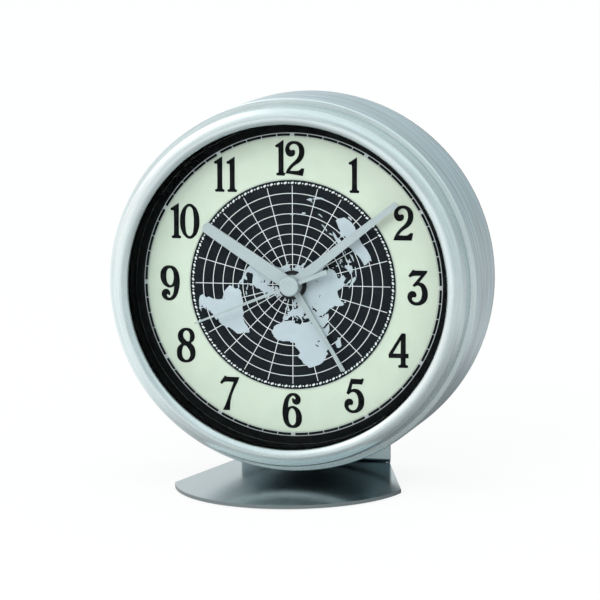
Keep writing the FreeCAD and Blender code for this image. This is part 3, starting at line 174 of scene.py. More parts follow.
# Finishes of CAD nodes: name, colour, roughness, size and depth of the grain in mm, the share of
# the colour that its darkest spots keep, how metallic it is, and the nodes that have it
BACK_FINISHES = (
    # Acetal, moulded: black and waxy, with a soft gloss
    ("acetal_knob_moulded", "#1B1D1F", 0.4, 0.3, 0.004, 0.85, 0,
     ("time_set_knob", "alarm_set_knob")),
    # ABS, moulded: plain grey, half gloss
    ("abs_switch_grey", "#A3A6A5", 0.45, 0.3, 0.004, 0.85, 0, ("alarm_switch",)),
    # Machine screws, zinc plated and passivated: bright and slightly uneven
    ("screw_zinc_plated", "#B9BCBE", 0.32, 0.15, 0.002, 0.8, 1,
     ("rear_cover_screws", "bracket_screws", "frame_screws", "movement_screws")),
)
INNER_FINISHES = (
    # ABS, moulded: dark grey satin with a light mottle
    ("movement_abs_natural", "#2A2D2F", 0.5, 0.4, 0.01, 0.85, 0,
     ("movement_front_case", "movement_rear_case")),
    # Acetal, moulded: milky, with a soft gloss
    ("acetal_wheels_moulded", "#E6E3D8", 0.35, 0.25, 0.002, 0.93, 0,
     ("second_wheel", "third_wheel", "centre_wheel", "minute_wheel", "hour_wheel", "alarm_wheel",
      "step_wheel", "time_set_stem", "alarm_set_stem")),
    # Brass, turned: warm and bright under a fine haze
    ("brass_turned", "#C9A866", 0.3, 0.15, 0.002, 0.85, 1, ("minute_pipe",)),
    # Ferrite, pressed and sintered: dull dark grey, slightly grainy
    ("ferrite_magnet_sintered", "#3A3C3E", 0.5, 0.2, 0.006, 0.85, 0, ("rotor",)),
    # Silicon iron sheet, stamped: grey, half dull
    ("silicon_iron_stamped", "#8F9496", 0.38, 0.3, 0.004, 0.85, 1, ("stator",)),
    # Nylon, moulded: cream, half gloss
    ("nylon_spool_moulded", "#D9D4C4", 0.45, 0.3, 0.004, 0.85, 0, ("coil_spool",)),
    # Phenolic paper, pressed: brown, with a faint cloudy grain
    ("phenolic_board_pressed", "#6F5A2E", 0.5, 0.6, 0.006, 0.85, 0, ("circuit_board",)),
    # Drawn can, nickel plated: smooth and bright
    ("crystal_can_nickel", "#B8BBBC", 0.28, 0.2, 0.001, 0.9, 1, ("quartz_crystal",)),
    # Steel sleeve, lacquered: dark blue and glossy
    ("battery_sleeve_lacquered", "#2C3E63", 0.25, 0.3, 0.001, 0.9, 0, ("battery_cell",)),
    # Spring steel, nickel plated: bright
    ("spring_steel_nickel", "#BFC1C0", 0.28, 0.2, 0.002, 0.85, 1,
     ("battery_contact", "battery_spring", "switch_contact")),
    # ABS, moulded: black satin
    ("sounder_abs_moulded", "#1D1F20", 0.45, 0.3, 0.006, 0.85, 0, ("sounder",)),
)

# Old style numerals, y downwards, in units of which 29 make a millimetre. A third item marks a
# corner. They are drawn round the middle, and each stroke is printed bolder by so many units.
UNIT = MM / 29
NUMERAL_MIDDLE = 203
NUMERAL_BOLD = 3.5
NUMERAL_CIRCLE = 42.7
ONE = [[(158, 84), (176, 70), (215, 44), (235, 30, 1), (235, 338), (240, 348), (254, 356),
        (252, 371, 1), (172, 371, 1), (167, 356), (184, 348), (188, 338), (188, 104), (184, 97),
        (166, 97)]]
TWO = [[(110, 366, 1), (130, 315), (172, 258), (220, 212), (247, 166), (252, 120), (240, 77),
        (206, 55), (172, 64), (151, 92), (154, 112), (168, 122), (182, 120), (199, 121), (207, 140),
        (198, 166), (168, 179), (136, 168), (116, 132), (119, 88), (148, 47), (198, 32), (252, 44),
        (288, 80), (300, 134), (290, 184), (258, 228), (210, 262), (180, 287), (154, 321, 1),
        (205, 323), (243, 320), (264, 307), (275, 296, 1), (298, 301, 1), (283, 366, 1)]]
THREE = [[(160, 33, 1), (176, 41), (200, 42, 1), (298, 42, 1), (296, 56, 1), (218, 154, 1),
          (256, 166), (288, 205), (302, 262), (294, 318), (262, 358), (204, 377), (150, 366),
          (116, 330), (108, 290), (124, 256), (160, 243), (184, 256), (190, 280), (178, 299),
          (158, 296), (147, 310), (154, 334), (190, 351), (228, 336), (248, 290), (248, 236),
          (234, 196), (208, 182), (190, 186), (172, 197, 1), (158, 184, 1), (238, 88, 1), (184, 88),
          (152, 92), (130, 105, 1), (117, 91, 1)]]
FOUR = [[(238, 41, 1), (272, 41, 1), (275, 50, 1), (275, 239, 1), (303, 239, 1), (303, 277, 1),
         (275, 277, 1), (275, 338), (280, 347), (297, 355), (295, 372, 1), (211, 372, 1),
         (207, 355), (225, 347), (230, 338), (230, 277, 1), (113, 277, 1), (111, 244, 1)],
        [(230, 104, 1), (147, 239, 1), (230, 239, 1)]]
FIVE = [[(174, 39, 1), (250, 42, 1), (276, 40), (286, 33, 1), (299, 40, 1), (281, 90, 1),
         (262, 87, 1), (185, 87, 1), (172, 146, 1), (210, 137), (256, 152), (290, 198), (301, 258),
         (290, 314), (254, 354), (200, 371), (148, 360), (114, 320), (110, 284), (126, 250),
         (157, 237), (183, 248), (191, 270), (180, 292), (160, 292), (146, 306), (152, 330),
         (180, 348), (214, 344), (240, 312), (248, 262), (242, 212), (222, 176), (194, 164),
         (168, 173), (148, 191, 1), (131, 180, 1)]]
SIX = [[(215, 39), (256, 50), (284, 84), (286, 112), (272, 138), (246, 148), (218, 136), (207, 112),
        (211, 92), (224, 98), (239, 101), (236, 76), (214, 61), (190, 74), (170, 112),
        (160, 182, 1), (206, 166), (252, 182), (288, 228), (299, 284), (287, 338), (252, 372),
        (208, 379), (162, 367), (128, 326), (112, 262), (110, 212), (120, 144), (142, 84),
        (174, 50)],
       [(200, 184), (180, 200), (167, 240), (166, 292), (180, 340), (208, 358), (236, 336),
        (244, 292), (242, 240), (228, 202)]]
SEVEN = [[(158, 38, 1), (174, 49, 1), (297, 51, 1), (286, 84), (262, 132), (234, 196), (214, 264),
          (205, 324), (203, 373, 1), (139, 373, 1), (164, 322, 1), (248, 94, 1), (166, 93),
          (142, 100), (125, 118, 1), (110, 104, 1)]]
EIGHT = [[(202, 28), (256, 46), (282, 98), (276, 142), (244, 173, 1), (274, 208), (290, 266),
          (270, 334), (200, 365), (130, 340), (108, 276), (120, 216), (156, 182, 1), (130, 152),
          (118, 104), (142, 50)],
         [(203, 48), (176, 64), (167, 104), (184, 138), (226, 162), (240, 120), (234, 72)],
         [(182, 196), (160, 228), (154, 272), (166, 322), (200, 345), (234, 322), (242, 276),
          (226, 232)]]
NOUGHT = [[(252, 38), (300, 62), (334, 120), (347, 207), (334, 294), (300, 352), (252, 376),
           (204, 352), (170, 294), (157, 207), (170, 120), (204, 62)],
          [(250, 58), (222, 78), (208, 134), (204, 207), (208, 280), (222, 336), (250, 356),
           (278, 336), (292, 280), (296, 207), (292, 134), (278, 78)]]
NINE = [[(416 - x, 414 - y, *corner) for x, y, *corner in contour] for contour in SIX]
# Hour: its place on the dial in mm, and its figures with their shifts right and down in units
HOURS = {
    1: (21.01, 37.25, (ONE, 0, 0)),
    2: (37.88, 21.46, (TWO, 0, 0)),
    3: (42.69, 0.1, (THREE, 0, 0)),
    4: (36.12, -21.21, (FOUR, 0, 0)),
    5: (21.02, -36.99, (FIVE, 0, 0)),
    6: (-0.34, -42.4, (SIX, 0, 0)),
    7: (-21.91, -37.13, (SEVEN, 0, 0)),
    8: (-36.81, -21.57, (EIGHT, 0, 0)),
    9: (-42.69, -0.24, (NINE, 0, 0)),
    10: (-37.12, 20.92, (ONE, -94, 2), (NOUGHT, 0, 0)),
    11: (-22.75, 36.85, (ONE, -72, 0), (ONE, 53, 0)),
    12: (-0.8, 42.71, (ONE, -96, 0), (TWO, 46, 7)),
}

# Coastlines as longitude and latitude in degrees, round each land
LANDS = [
    # Africa
    (32.3, 31.2, 29, 30.9, 25, 31.7, 23, 32.6, 21.6, 32.9, 20.1, 32.1, 20, 30.9, 19, 30.3,
     17.5, 30.9, 15.4, 32.2, 13, 32.9, 11.2, 33.2, 10.1, 34.2, 11, 35.5, 11.1, 37, 9.8, 37.3,
     6, 36.9, 2.5, 36.8, -1, 35.8, -2.2, 35.1, -4.5, 35.2, -5.9, 35.8, -6.9, 34, -9.3, 32.5,
     -9.8, 30.5, -11.5, 28.4, -13.2, 27.7, -14.9, 25.5, -16, 23.7, -17, 21.2, -16.3, 19.2,
     -16.5, 16.5, -17.5, 14.7, -16.7, 12.4, -15, 10.8, -13.3, 9, -12.9, 7.8, -11.4, 6.8, -9.3, 5.2,
     -7.6, 4.4, -5, 5.1, -2.1, 4.8, 1.2, 6.1, 4.3, 6.3, 5.8, 4.4, 8.7, 4.6, 9.7, 3.8, 9.8, 1.2,
     9.3, -0.8, 11.2, -4, 12.3, -6, 13.4, -8.8, 13.8, -11.2, 12.5, -13.5, 11.8, -17, 14.5, -22.5,
     15.2, -26.8, 17.2, -30, 18.3, -32.8, 18.5, -34.3, 20, -34.8, 23.5, -34.1, 26.5, -33.8,
     28.7, -32.5, 31.3, -29.5, 32.8, -27, 32.9, -25.6, 35.4, -24, 35.2, -21.5, 34.9, -19.9,
     37, -17.8, 40.2, -16, 40.7, -14.5, 40.5, -10.6, 39.4, -8.5, 39.3, -6.5, 38.9, -5.2, 40.2, -2.7,
     42.6, -0.4, 45.5, 2.6, 47.8, 4.4, 49.2, 7.2, 51, 10.4, 51.2, 11.8, 48.5, 11.3, 45, 10.5,
     43.3, 11.5, 43.2, 12.3, 41.5, 14.5, 39.3, 15.6, 38.4, 18, 37.2, 19.8, 37, 21.2, 35.6, 23.3,
     35.4, 24.3, 34, 26.5, 33.2, 28.3, 32.5, 29.9),
    # Europe and Asia
    (32.7, 31.1, 34.2, 31.3, 35, 33, 35.9, 35.5, 36.1, 36.7, 34, 36.3, 32.3, 36.1, 30.6, 36.7,
     29, 36.4, 27.5, 36.9, 26.5, 38.4, 26.2, 39.5, 27.3, 40.4, 29, 41, 31.3, 41.3, 33.5, 42,
     36, 41.6, 38.5, 41, 41.5, 41.6, 41.5, 42.5, 39, 44, 37.2, 45, 38, 46.8, 39.3, 47.2, 36, 46.6,
     34.8, 46, 36.5, 45.3, 35, 44.9, 33.6, 44.4, 32.6, 45.3, 33.5, 46.1, 31.5, 46.6, 30, 45.8,
     28.9, 44.8, 28.2, 43.3, 27.8, 42.3, 28.2, 41.5, 26.5, 40.9, 24.3, 40.8, 23.2, 40.3, 22.9, 39.2,
     24, 38, 23, 36.7, 21.6, 37, 21.1, 38.3, 19.5, 40, 19.4, 41.8, 17, 43, 15, 44.6, 13.6, 45.3,
     12.4, 45.2, 12.5, 44.2, 13.8, 43.2, 14.5, 42.2, 16.1, 41.5, 18.4, 40.2, 17, 40.4, 16.6, 39.4,
     16.5, 38.5, 15.9, 38, 15.8, 39.5, 14.5, 40.7, 12.5, 41.6, 11, 42.5, 10.2, 43.9, 8.8, 44.4,
     7.3, 43.6, 4.8, 43.4, 3.2, 43.1, 3.1, 41.9, 0.9, 41, -0.3, 39.4, 0.1, 38.7, -1, 37.6,
     -2.3, 36.8, -4.4, 36.7, -5.5, 36.1, -6.4, 36.8, -8.8, 37.1, -9.3, 38.7, -8.8, 40.5, -8.9, 42.6,
     -8.8, 43.4, -6, 43.6, -3.5, 43.5, -1.6, 43.4, -1.2, 45, -1.9, 46.8, -2.5, 47.4, -4.6, 48.1,
     -3, 48.8, -1.6, 48.7, -1.8, 49.7, 0.2, 49.7, 1.6, 50.8, 3.6, 51.5, 4.8, 53, 7, 53.6, 8.5, 53.9,
     8.6, 55.2, 8.2, 56.6, 9.8, 57.5, 10.6, 57.7, 10.3, 56.3, 9.9, 54.9, 11, 54.2, 13.5, 54.4,
     14.6, 54, 18.5, 54.7, 20, 54.6, 21.1, 55.9, 21.5, 57.4, 23.5, 57.1, 24.3, 57.3, 23.6, 58.7,
     26.5, 59.5, 29.5, 60, 28, 60.5, 25, 60.2, 22.9, 59.9, 21.3, 61, 21.3, 62.8, 23.5, 64.3,
     25.3, 65.1, 24, 65.8, 22, 65.5, 21.3, 64.3, 18.3, 62.9, 17.2, 61.2, 18.8, 60, 18, 58.8,
     16.5, 57.3, 16.2, 56.2, 14.3, 55.5, 12.8, 55.6, 12, 57.3, 11.2, 58.9, 9.8, 59, 8, 58.1,
     5.6, 58.9, 5, 61.5, 8.5, 63.4, 11.5, 65, 14, 67.5, 18, 69.5, 22, 70.4, 26, 71, 30.8, 70.3,
     33, 69.4, 38, 68.4, 41, 67, 39, 66.1, 34.5, 66.6, 34, 65.5, 37, 64, 40, 64.8, 40, 66,
     42.5, 66.4, 44.2, 66.2, 43.5, 68.4, 46.5, 68, 53, 68.6, 58, 68.8, 60.6, 69.7, 65, 69.3, 67, 69,
     66.8, 71, 69, 72.8, 72.8, 72.7, 72, 70.5, 72.5, 68.3, 74, 67, 74, 69, 74.5, 72, 78, 72.3,
     81, 73.6, 87, 75, 94, 76, 99, 76.4, 104, 77.6, 112, 76.6, 108, 74.5, 106, 73.3, 113, 73.6,
     119, 73, 124, 73.5, 129, 71.2, 133, 71.6, 140, 72.5, 150, 71.6, 160, 69.8, 170, 69.8,
     180, 68.9, -175, 67.4, -170.3, 66.1, -173, 64.4, 180, 64.8, 177.5, 64.7, 179, 62.4, 170.5, 60,
     166, 60, 163, 58, 162.5, 56, 160, 53.2, 156.8, 51, 155.7, 54, 157, 57, 163, 61.5, 160, 61.8,
     155, 59.4, 149, 59.5, 142, 59, 135.3, 54.8, 138, 53.8, 141.2, 52.5, 140.5, 50, 139, 47,
     135, 43.5, 132, 43.2, 130.6, 42.3, 129.6, 41, 127.5, 39.6, 129.3, 37, 129, 35.2, 126.5, 34.4,
     126.7, 37, 125, 38, 124.5, 39.8, 121.3, 38.9, 121.5, 40.8, 118, 39, 119, 37.2, 122.5, 37.2,
     119.3, 35, 121.8, 31.8, 121.8, 29, 119.5, 25.8, 116.8, 23.2, 113.5, 22.2, 110.5, 21.3,
     109.5, 21.6, 108, 21.5, 105.8, 19, 108.8, 15.5, 109.3, 12, 106.8, 10.4, 105, 8.7, 104.8, 10.3,
     102.5, 12.1, 100.8, 13.3, 100, 12, 99.3, 9.5, 101.5, 6.8, 103.4, 4, 104.2, 1.4, 103.3, 1.4,
     101, 3.2, 100.4, 5.8, 98.5, 8.3, 98.7, 11.5, 97.6, 15.8, 95.4, 15.8, 94.3, 17.5, 92.3, 20.8,
     91, 22.3, 88.5, 21.7, 86.9, 20.8, 85, 19.5, 82.3, 16.6, 80.2, 15, 80.2, 13, 79.8, 10.3,
     78, 8.2, 76.3, 9.8, 74.8, 13, 73, 17.5, 72.7, 20.5, 70.5, 20.9, 69, 22.2, 67.2, 24.5, 62, 25.2,
     57.3, 25.7, 56.5, 27, 54, 26.6, 51.5, 27.9, 50.2, 30, 48.5, 29.9, 48.2, 28.5, 50, 26.7,
     50.8, 24.8, 51.3, 26, 51.7, 24.4, 54.3, 24.2, 56.3, 26, 56.8, 24.2, 59.8, 22.4, 58.5, 20.3,
     57.5, 19, 55.2, 17.3, 52.2, 15.6, 48, 14, 45, 12.8, 43.5, 12.8, 42.8, 15.5, 42.3, 17.2,
     40.7, 19.8, 39.1, 21.5, 38.3, 23.8, 35.5, 27.6, 34.9, 29.4, 34.3, 28, 33.3, 28.8, 32.7, 29.8),
    # North America
    (-168, 65.7, -163, 66.5, -166.5, 68.3, -162, 70, -156.5, 71.3, -150, 70.4, -141, 69.7,
     -134, 69.5, -128, 70.2, -124, 69.8, -117, 68.9, -114, 67.9, -108, 67.9, -102, 67.7, -96, 68.2,
     -95, 71.5, -92, 69.6, -90, 68.7, -86, 67.8, -82, 69.6, -81.5, 67.5, -86, 66.3, -87, 64.7,
     -93.5, 61.8, -94.5, 58.8, -92.3, 57, -85, 55.3, -82.2, 53, -79.8, 51.4, -79, 54.5, -76.6, 57,
     -78.3, 60, -77.8, 62.4, -73, 62.2, -69.7, 59.5, -67.5, 58.4, -64.5, 60.2, -62, 57.5, -58, 54.8,
     -55.7, 52.5, -60, 50.2, -66.5, 50.2, -69, 48.5, -64.5, 48.8, -64.8, 46.5, -61, 45.5,
     -65.5, 43.7, -67, 44.8, -70, 43.7, -70.8, 42.3, -70, 41.7, -74, 40.6, -75.3, 38.5, -76, 36.9,
     -75.8, 35.3, -78, 33.9, -81, 31.8, -81.4, 30, -80.2, 27, -80.5, 25.2, -82, 26.8, -82.7, 28.5,
     -84, 30, -86.5, 30.4, -89.3, 30.2, -90.5, 29.2, -94, 29.6, -97.2, 27.8, -97.5, 24, -97, 20.5,
     -95.5, 18.6, -92.5, 18.5, -90.5, 20.5, -87.2, 21.5, -87.6, 18.8, -88.5, 16, -85.5, 15.9,
     -83.2, 15, -83.6, 11.5, -81.8, 9, -79.5, 9.5, -77.5, 8.6, -78.2, 7.8, -80.3, 7.5, -82.8, 8.2,
     -85.6, 10.3, -87.6, 12.9, -91.5, 14, -94.5, 16.2, -99, 16.7, -105.3, 20, -106.5, 23.3,
     -109.3, 26, -112.5, 29.7, -114.3, 31.6, -114.9, 31.2, -113.2, 28.4, -111.3, 26, -109.6, 23.2,
     -112, 25.5, -114.8, 28, -117.1, 32.5, -120.5, 34.5, -122.5, 37.5, -124.3, 40.4, -124, 44.5,
     -124.6, 48.3, -122.5, 48, -123.5, 49.5, -127.5, 51.5, -130.5, 54.8, -134, 58, -139.5, 59.8,
     -146, 60.8, -151.5, 59.3, -151, 61, -154, 58.5, -158.5, 56, -163.5, 54.8, -161, 56.5,
     -157.5, 58.8, -162, 59, -165, 61.5, -164.5, 63.2, -161, 64.3),
    # South America
    (-77.3, 8.3, -75.5, 10.7, -72, 12, -71.5, 11, -68, 11, -62, 10.7, -60, 8.5, -57, 6, -52, 4.8,
     -50, 1, -48, -1, -44, -2.5, -40, -2.9, -35.5, -5.3, -34.9, -8, -37, -11.5, -39, -14,
     -39, -17.8, -41, -22, -44.5, -23.2, -48.5, -26, -49, -28.8, -52.5, -33, -55, -34.9, -58.3, -34,
     -57, -36.5, -58, -38.2, -62.2, -39, -62.5, -41, -65, -41, -63.8, -42.8, -67.3, -45.8,
     -65.8, -47.5, -69, -51, -68.4, -52.4, -65.2, -54.7, -68, -55.5, -72, -54, -74.5, -51.5,
     -75.5, -47, -73, -42, -73.5, -38.5, -71.5, -32, -70.3, -24, -70.3, -18.3, -76, -14,
     -79.5, -7.5, -81.3, -4.5, -80, -2.5, -80.8, -0.5, -78.5, 1.5, -77.3, 4, -78, 6.8),
    # Greenland, Australia
    (-73, 78.3, -66, 76, -58, 75.5, -54.5, 71, -53.5, 67.5, -51.5, 64, -48, 61, -43.5, 59.9,
     -42.5, 62.5, -38, 65.7, -32, 68, -24, 70.2, -21, 73, -19, 76, -17, 80, -25, 82, -33, 83.6,
     -48, 82.3, -60, 82, -68, 80.2),
    (113.5, -22, 114, -26, 115.7, -31.5, 115, -34.3, 118, -35, 123.5, -33.9, 129, -31.6, 132, -32,
     135.5, -34.8, 138, -33, 138.2, -35.6, 140.5, -38, 143.5, -38.8, 146.3, -39, 150, -37.4,
     151.3, -33.5, 153.2, -30, 153.3, -26, 150.8, -23.2, 148.5, -20, 146, -18.8, 145.3, -15,
     143.5, -14, 142.5, -10.8, 141.6, -13.5, 140.8, -17.5, 139, -17.3, 135.5, -14.8, 136.8, -12.2,
     132.5, -11.3, 130, -13.5, 128, -14.8, 125, -14.6, 122.3, -18, 119, -20, 116, -21),
    # Islands of the Pacific and of south east Asia
    (131, -0.8, 134, -0.8, 135.2, -3.3, 138, -1.7, 141, -2.6, 145, -4.4, 147.8, -6.2, 150.5, -10.5,
     147, -9.5, 144, -7.8, 141, -9.1, 138, -8.3, 138.5, -6.8, 135, -4.4, 132.8, -4, 133.8, -2.4),
    (109, 1.5, 111.5, 2.6, 113.5, 3.6, 117, 7, 119, 5.2, 117.8, 2.5, 118.8, 0.9, 117.4, 0,
     116.3, -3.8, 114.5, -4, 111.5, -3.3, 110, -1.3, 109.1, 0.3),
    (95.3, 5.6, 98, 4.3, 100.5, 2.2, 103.5, 0, 105.8, -3, 105.8, -5.8, 104, -5.8, 102, -3.6,
     100.3, -1, 98.6, 1.7, 96, 4),
    (105.2, -6.8, 106.8, -6, 110.8, -6.4, 114.4, -7.7, 114.3, -8.7, 110, -8, 106.5, -7.4),
    (119.7, 0.6, 121, 1.2, 125, 1.5, 123, 0.4, 120.4, 0.4, 121, -0.9, 123.3, -0.9, 121.5, -1.9,
     122.8, -4.5, 121.5, -4.7, 120.6, -3, 120.3, -5.5, 119.5, -5.4, 119, -3, 119.8, -0.8),
    (120.3, 16, 120.7, 18.5, 122.3, 18.3, 121.6, 15.8, 124, 13, 122, 13.7, 120.6, 14),
    (122.2, 7, 123.7, 8.6, 125.4, 9.7, 126.5, 7.5, 125.5, 5.7, 124, 6.6),
    (120.1, 23, 121.5, 25.2, 121.9, 24.8, 120.9, 22),
    (108.7, 19.2, 110.9, 20, 110.3, 18.6, 109.2, 18.3),
    (173, -34.8, 175, -36.8, 178, -37.8, 177, -39.5, 175.2, -41.5, 173.9, -39.4, 174.7, -38),
    (172.8, -40.6, 174.2, -41.7, 171, -44.5, 170.5, -46, 168.5, -46.6, 166.6, -45.9, 170.5, -43),
    (144.7, -40.8, 148.2, -41, 148, -43, 146, -43.6),
    # Islands of the Indian Ocean and of east Asia
    (79.8, 8, 80.2, 9.8, 81.8, 7.5, 80.7, 6),
    (44, -20.5, 44.5, -16.2, 46.5, -15.6, 49.3, -12, 50.4, -15.5, 49, -18.5, 47.2, -24.8,
     45.2, -25.5, 43.5, -23),
    (131, 34.2, 132.7, 35.5, 136, 35.7, 137, 37.3, 139.5, 38.5, 140, 41, 141.4, 41.3, 142, 39.5,
     140.9, 38, 140.8, 35.8, 138.8, 34.7, 136.8, 34.4, 135.7, 33.5, 135, 34.6),
    (140, 42, 141.6, 45.4, 145.3, 44, 145.2, 43.2, 143.2, 42),
    (129.8, 33, 131.8, 33.5, 131.3, 31.4, 130.2, 31.2),
    (132.4, 33.4, 134.6, 34.2, 134.2, 33.4, 133, 32.8),
    (142, 46, 142.3, 54.3, 143.3, 52.3, 144.5, 49, 143, 47),
    # Islands of Europe and of the Arctic
    (-5.5, 50.1, -3, 51.4, -5, 51.8, -4.2, 53.3, -3, 54, -5, 54.8, -6, 56.5, -5, 58.6, -3, 58.6,
     -2, 57.5, -3.2, 56, -1.5, 55, 0.3, 53, 1.7, 52.7, 1.3, 51.2, -1.5, 50.6),
    (-10, 51.8, -9.8, 54.2, -7.5, 55.3, -5.6, 54.5, -6.2, 52.3),
    (-24, 65.5, -22.3, 66.4, -20.3, 65.7, -16.2, 66.4, -13.7, 65, -16, 64, -19, 63.4, -22.5, 63.9),
    (11, 79.5, 16, 80, 24, 80.3, 21, 78.5, 17, 76.7, 14, 77.7),
    (52, 71.5, 55, 73.5, 60, 76, 68, 76.9, 62, 75, 57.5, 72.5, 57, 70.7),
    (96, 80.5, 101, 79.5, 104, 78.3, 98, 79, 93, 80),
    (138, 75.8, 144, 76, 150, 75.2, 143, 73.3, 140, 73.5),
    (12.5, 38, 15.6, 38.2, 15.1, 36.7),
    (119, -8.2, 123, -8, 127, -8.2, 124, -10.4, 120, -9.8),
    (127.4, 2.4, 129.2, 1, 128, -1.2, 127, 0.8),
    (128, -2.6, 131, -3, 130, -4.2),
    (116.8, 8.6, 119.6, 11.6, 119.6, 10),
    (121.8, 12, 123.4, 11.4, 124, 10, 125.4, 12.6, 125.2, 10, 123, 9, 121.8, 10.4),
    (148.3, -5.3, 152, -4, 151.7, -6, 149, -6.8),
    (154.6, -4.8, 156.8, -6.4, 161.8, -10, 160, -10.4, 155, -7.2),
    (163.6, -19.8, 167.4, -22, 166.2, -23.2, 163.4, -21),
    (176.8, -16.8, 180, -15.8, 179.4, -18.6, 177, -18.8),
    (-173.6, -12.8, -170.4, -13.6, -172.4, -15.2),
    (-157, 21.2, -154.6, 20, -155.8, 18.6),
    (8.2, 39, 8.3, 41, 9.3, 43, 9.7, 40.8, 9.5, 39.2),
    (23.5, 35.5, 26.2, 35.3, 24.8, 34.9),
    # Islands of the Americas
    (-80, 73.5, -73, 71.5, -68, 69.8, -62, 66.8, -64.5, 63.3, -71, 62.6, -78, 64.5, -73.5, 66.5,
     -73, 68.3, -80, 70, -88, 70.6, -86, 73.3),
    (-117, 71.2, -112, 73, -105, 72.5, -102, 69.8, -106, 68.8, -114, 69.2),
    (-125, 72, -123, 74, -117, 73.3, -121, 71.5),
    (-90, 77, -92, 81, -80, 83, -65, 82.8, -70, 80.5, -77, 78.8, -80, 76.5),
    (-95, 75.2, -92, 76.6, -81, 75.7, -81, 74.6),
    (-117, 75.3, -112, 76.2, -105.5, 75.6, -110, 74.7),
    (-59, 48, -57, 50.5, -55.6, 51.4, -53.2, 48.5, -53.5, 46.8, -56, 47),
    (-84.8, 21.9, -82, 23.1, -79.5, 22.8, -75, 20.8, -75, 20, -77.7, 19.9, -78.5, 21.3, -82, 22.3),
    (-74.3, 18.4, -73, 19.9, -70, 19.7, -68.5, 18.5, -71, 17.8),
    # Lakes, which are holes in the lands round them
    (47, 45, 50, 46.8, 53, 46.5, 51, 44.5, 53, 42, 52.8, 40, 54, 37.3, 51, 36.8, 49, 38, 49.3, 40.4,
     47.5, 43),
    (58.5, 45.5, 61, 46.5, 61, 44, 59, 43.8),
    (104, 51.6, 109.8, 55.6, 108, 53, 106, 51.8),
    (31.8, -1, 33, 0.4, 34.3, -0.5, 33.5, -2.4, 32, -2.5),
    (29, -3.2, 31.4, -8.8, 29.8, -8, 28.8, -5),
    (73.6, 46, 79, 47, 78.6, 46, 75, 44.6),
    (-70.6, -15, -68.6, -16.8, -70, -16.6),
    (-92, 46.7, -88.5, 48.8, -84.7, 46.8, -87.5, 46.5),
    (-87.8, 42, -86, 46, -84, 46, -80, 45, -82.3, 43, -83.5, 45.2, -85.5, 44.8, -86.3, 42.2),
    (-124, 66, -119, 67, -118, 65.3, -121, 65),
    (-116.5, 61, -110, 62.7, -113, 61),
    (-99, 53.8, -97.8, 53.7, -96.5, 50.6),
]


def linear(code):
    """The linear colour of an sRGB hex code."""
    parts = [int(code[i:i + 2], 16) / 255 for i in (1, 3, 5)]
    return [p / 12.92 if p <= 0.04045 else ((p + 0.055) / 1.055) ** 2.4 for p in parts] + [1.0]


def colour(name, code, description):
    return FloatVectorProperty(name=name, description=description, default=linear(code), size=4,
                               min=0, max=1, subtype="COLOR")


def length(name, size, description):
    return FloatProperty(name=name, description=description, default=size * MM,
                         subtype="DISTANCE", unit="LENGTH")


class ClockSizes(bpy.types.PropertyGroup):
    """Sizes of what is printed on the dial, and of the rounded edges."""

    track_inner: length("Track inside", 50.1, "Inner radius of the silver minute track")
    track_outer: length("Track outside", 51.31, "Outer radius of the silver minute track")
    dash_inner: length("Dash inside", 50.2, "Inner radius of the minute dashes")
    dash_outer: length("Dash outside", 51.05, "Outer radius of the minute dashes")
    dial_edge: length("Dial edge", 54.05, "Radius where the printed dial meets the black surround")
    numeral_circle: length("Numeral circle", NUMERAL_CIRCLE, "Radius of the numerals' circle")
    map_radius: length("Map radius", 35.37, "Radius of the dark map disc")
    map_scale: length("Map reach", 34.3, "Radius at which the map shows 60 degrees south")
    border_radius: length("Border radius", 34.4, "Radius of the circle of blocks and dots")
    line_width: length("Map line", 0.23, "Width of the map's parallels and meridians")
    edge_round: length("Edge rounding", 0.12, "Width of a broken edge on metal and mouldings")
    ornaments: IntProperty(name="Border repeats", default=90, min=12, max=240,
                           description="Number of slanted blocks round the map")


class ClockColours(bpy.types.PropertyGroup):
    """Colours of the visible finishes."""

    metal: colour("Brushed metal", "#CAD6D7", "Bezel")
    shell: colour("Drum metal", "#BCD0D7", "Drum behind the bezel")
    # Set darker and bluer than the bezel's metal as painted shade, for the drum that lies in shadow
    sheet: colour("Stand metal", "#B4C1C4", "Bent sheet stand")
    lume: colour("Luminous ring", "#C0CBBD", "Pale green ring under the numerals")
    ink: colour("Black ink", "#0A0D0F", "Numerals, minute dashes and the dial's edge")
    silver: colour("Silver ink", "#AAB1B4", "Minute track")
    sea: colour("Map ground", "#14191E", "Dark disc of the map")
    land: colour("Map lands", "#ABB7BE", "Lands on the map")
    line: colour("Map lines", "#D2D8D9", "Parallels, meridians and border ornaments")
    hands: colour("Hands", "#9CA7AA", "Silver grey hands and cap")
    moulding: colour("Black moulding", "#050607", "Surround and the frame behind it")


def add_node(tree, kind, settings=None, inputs=None):
    """Adds a node with its settings. An input gets a value, or a link from a node's output."""
    node = tree.nodes.new(kind)
    for name, value in (settings or {}).items():
        setattr(node, name, value)
    for name, value in (inputs or {}).items():
        if isinstance(value, bpy.types.NodeSocket):
            tree.links.new(value, node.inputs[name])
        else:
            node.inputs[name].default_value = value
    return node


def blank(name):
    """A material with no nodes but its output, and its node tree."""
    material = bpy.data.materials.new(name)
    material.use_nodes = True
    material.node_tree.nodes.clear()
    add_node(material.node_tree, "ShaderNodeOutputMaterial")
    return material, material.node_tree


def surface(tree, shader):
    output = next(n for n in tree.nodes if n.type == "OUTPUT_MATERIAL")
    tree.links.new(shader, output.inputs["Surface"])


